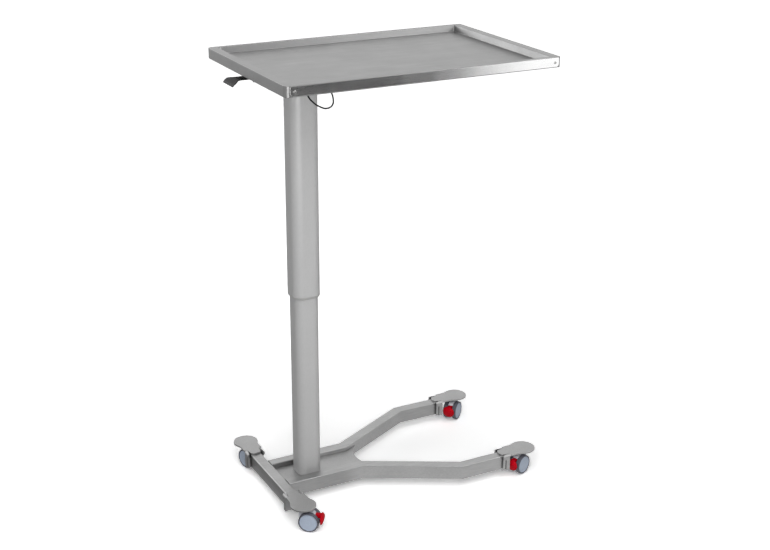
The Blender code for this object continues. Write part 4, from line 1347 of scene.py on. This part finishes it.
@dataclass
class Studio:
    """Floor, light, cards and camera."""

    column_x: float
    floor_size: float = 40.0
    ambient: float = 0.14
    floor_paint: float = 0.80
    # Floor paint near the cart, kept lower than far from it as a painted shade round the base.
    painted_shade_white: float = 1.45
    far_white: float = 2.3
    # Painted shade: the floor's paint for the camera is darker round this place, about the base, and
    # brightens to full white between these two distances from it.
    painted_shade_spot: tuple[float, float, float] = (0.05, -0.2, 0.0)
    painted_shade_reach: float = 0.3
    far_reach: float = 1.0
    sun_strength: float = 1.35
    sun_softness: float = 80.0
    sun_spot: tuple[float, float, float] = (-1.15, -2.2, 4.0)
    sensor_mm: float = 36.0
    lens_mm: float = 64.069
    # The camera's axes and place, fitted to the photograph's edges.
    camera_right: tuple[float, float, float] = (0.88656, -0.46257, 0.00469)
    camera_up: tuple[float, float, float] = (0.16074, 0.31756, 0.93449)
    camera_forward: tuple[float, float, float] = (0.43377, 0.82774, -0.35590)
    camera_from_column: tuple[float, float, float] = (-1.3580, -3.0486, 1.8922)

    def build(self) -> None:
        """Set the stage up."""
        self.build_world()
        self.build_floor()
        self.build_cards()
        self.build_lamps()
        self.build_camera()
        bpy.context.scene.view_settings.view_transform = "Standard"

    def seen_directly(self, tree: bpy.types.NodeTree) -> bpy.types.NodeSocket:
        """Tell rays from the camera, or by way of a mirror or glass, from the rest.

        Args:
            tree: the node tree to add to.

        Returns:
            A socket that is one for them and nought for the rest.
        """
        path = add_node(tree, "ShaderNodeLightPath")
        first = add_node(tree, "ShaderNodeMath", {"operation": "ADD"}, {
            0: path.outputs["Is Camera Ray"], 1: path.outputs["Is Glossy Ray"]})
        both = add_node(tree, "ShaderNodeMath", {"operation": "ADD", "use_clamp": True}, {
            0: first.outputs[0], 1: path.outputs["Is Transmission Ray"]})
        return both.outputs[0]

    def build_world(self) -> None:
        """Light evenly from all round, and show white where the world is seen."""
        world = bpy.data.worlds.new("studio")
        world.use_nodes = True
        tree = world.node_tree
        tree.nodes.clear()
        seen = self.seen_directly(tree)
        level = add_node(tree, "ShaderNodeMapRange", inputs={
            "Value": seen, "To Min": self.ambient, "To Max": 1.0})
        light = add_node(tree, "ShaderNodeBackground", inputs={
            "Color": (1, 1, 1, 1), "Strength": level.outputs["Result"]})
        add_node(tree, "ShaderNodeOutputWorld", inputs={"Surface": light.outputs["Background"]})
        bpy.context.scene.world = world

    def lay_sheet(self, name: str, size: Point, place: Matrix,
                  material: bpy.types.Material) -> bpy.types.Object:
        """Lay one flat rectangle of the stage.

        Args:
            name: the sheet's name.
            size: its width and depth.
            place: where it lies and which way it faces.
            material: its surface.

        Returns:
            The sheet.
        """
        bm = bmesh.new()
        bmesh.ops.create_grid(bm, x_segments=1, y_segments=1, size=0.5)
        bmesh.ops.scale(bm, vec=(size[0], size[1], 1), verts=bm.verts)
        turn_mesh(bm, place)
        mesh = bpy.data.meshes.new(name)
        bm.to_mesh(mesh)
        bm.free()
        mesh.materials.append(material)
        sheet = bpy.data.objects.new(name, mesh)
        bpy.context.scene.collection.objects.link(sheet)
        return sheet

    def build_floor(self) -> None:
        """Lay a white floor that keeps the cart's shadow, with a painted shade: its paint is darker near
        the cart.
        """
        material = blank_material("white studio floor")
        tree = material.node_tree
        place = add_node(tree, "ShaderNodeTexCoord")
        reach = add_node(tree, "ShaderNodeVectorMath", {"operation": "DISTANCE"}, {
            0: place.outputs["Object"], 1: self.painted_shade_spot})
        path = add_node(tree, "ShaderNodeLightPath")
        far = add_node(tree, "ShaderNodeMapRange", inputs={
            "Value": path.outputs["Is Camera Ray"], "To Min": self.painted_shade_white, "To Max": self.far_white})
        # Painted shade: the paint seen by the camera is darker near the cart and full white farther out.
        white = add_node(tree, "ShaderNodeMapRange", inputs={
            "Value": reach.outputs["Value"], "From Min": self.painted_shade_reach, "From Max": self.far_reach,
            "To Min": self.painted_shade_white, "To Max": far.outputs["Result"]})
        shade = add_node(tree, "ShaderNodeMapRange", inputs={
            "Value": self.seen_directly(tree),
            "To Min": self.floor_paint, "To Max": white.outputs["Result"]})
        paint = add_node(tree, "ShaderNodeBsdfDiffuse", inputs={"Color": shade.outputs["Result"]})
        add_node(tree, "ShaderNodeOutputMaterial", inputs={"Surface": paint.outputs[0]})
        size = (self.floor_size, self.floor_size)
        self.lay_sheet("floor", size, Matrix.Translation((0, 0, -GAP)), material)

    def build_cards(self) -> None:
        """Set cards off camera, which only reflections see."""
        for card in CARDS:
            material = blank_material(card.name)
            tree = material.node_tree
            glow = add_node(tree, "ShaderNodeEmission", inputs={
                "Color": linear(card.shade), "Strength": card.strength})
            add_node(tree, "ShaderNodeOutputMaterial", inputs={"Surface": glow.outputs[0]})
            sheet = self.lay_sheet(card.name, card.size, self.facing(card.spot, card.aim, "Z"), material)
            sheet.visible_camera = False
            sheet.visible_diffuse = False
            sheet.visible_shadow = False
            sheet.visible_transmission = False

    def facing(self, spot: Point, aim: Point, axis: str) -> Matrix:
        """A place at one point, with an axis turned towards another.

        Args:
            spot: where it stands.
            aim: what it faces.
            axis: the local axis that faces it.

        Returns:
            The matrix from local axes to the frame's.
        """
        turn = (Vector(aim) - Vector(spot)).to_track_quat(axis, "Y").to_matrix().to_4x4()
        return Matrix.Translation(spot) @ turn

    def build_lamps(self) -> None:
        """Hang one soft sun overhead and three softboxes round the cart."""
        sun = bpy.data.lights.new("soft_sun", "SUN")
        sun.energy = self.sun_strength
        sun.angle = math.radians(self.sun_softness)
        self.hang(sun, self.sun_spot, (0.0, 0.0, 0.0), mirrored=False)
        for softbox in SOFTBOXES:
            lamp = bpy.data.lights.new(softbox.name, "AREA")
            lamp.shape = "RECTANGLE"
            lamp.size, lamp.size_y = softbox.size
            lamp.energy = softbox.watts
            self.hang(lamp, softbox.spot, softbox.aim, softbox.mirrored)

    def hang(self, light: bpy.types.Light, spot: Point, aim: Point, mirrored: bool) -> None:
        """Hang a light at a place, aimed at another, out of the camera's sight.

        Args:
            light: the light.
            spot: where it hangs.
            aim: what it shines at.
            mirrored: whether metal reflects it.
        """
        lamp = bpy.data.objects.new(light.name, light)
        lamp.matrix_world = self.facing(spot, aim, "-Z")
        lamp.visible_camera = False
        lamp.visible_glossy = mirrored
        bpy.context.scene.collection.objects.link(lamp)

    def build_camera(self) -> None:
        """Stand the camera where the photograph was taken from."""
        data = bpy.data.cameras.new("camera")
        data.sensor_width = self.sensor_mm
        data.sensor_fit = "HORIZONTAL"
        data.lens = self.lens_mm
        right, up = Vector(self.camera_right), Vector(self.camera_up)
        turn = Matrix((right, up, -Vector(self.camera_forward))).transposed().to_4x4()
        spot = Vector((self.column_x, 0, 0)) + Vector(self.camera_from_column)
        camera = bpy.data.objects.new("camera", data)
        camera.matrix_world = Matrix.Translation(spot) @ turn
        bpy.context.scene.collection.objects.link(camera)
        bpy.context.scene.camera = camera


KEPT_NODES: dict[str, Finish] = {
    "upper_guide_bush": BLACK_PLASTIC,
    "gas_spring_cylinder": BLACK_STEEL,
    "gas_spring_gland": PLATE_STEEL,
    "gas_spring_rod": PLATE_STEEL,
    "release_head": BLACK_STEEL,
}


# Which way each bracket's nose points, in degrees from +X.
OUTWARD: dict[Corner, float] = {
    Corner.REAR_RIGHT: -90,
    Corner.REAR_LEFT: 90,
    Corner.FRONT_RIGHT: 0,
    Corner.FRONT_LEFT: 0,
}


def dress_kept_nodes(nodes: dict[str, bpy.types.Object]) -> None:
    """Give each CAD node that stays its own finish.

    Args:
        nodes: the frame's objects by node.
    """
    for name, finish in KEPT_NODES.items():
        for slot in nodes[name].material_slots:
            slot.material = finish.material()
        LOG.info("%s keeps its CAD shape", name)


def main() -> None:
    """Load the frame, build every sub-assembly and set the stage."""
    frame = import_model()
    joints = {joint["name"]: joint for joint in frame["joints"]}
    column_x = centre_of("upper_column").x
    Tray().build()
    Column().build()
    Base(column_x).build()
    for corner in Corner:
        swivel = Vector(joints[corner.value + "_swivel"]["pos_m"])
        axle = joints[corner.value + "_left_wheel_spin"]["axis"]
        heading = math.degrees(math.atan2(axle[1], axle[0])) - 90
        Bracket(corner, swivel, OUTWARD[corner]).build()
        Caster(corner, swivel, heading).build()
    pin = Vector(joints["release_lever_pull"]["pos_m"])
    Release(column_x, pin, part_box("tray_pan")[1].z).build()
    dress_kept_nodes(frame["nodes"])
    Studio(column_x).build()


if __name__ == "__main__":
    logging.basicConfig(level=logging.INFO)
    main()
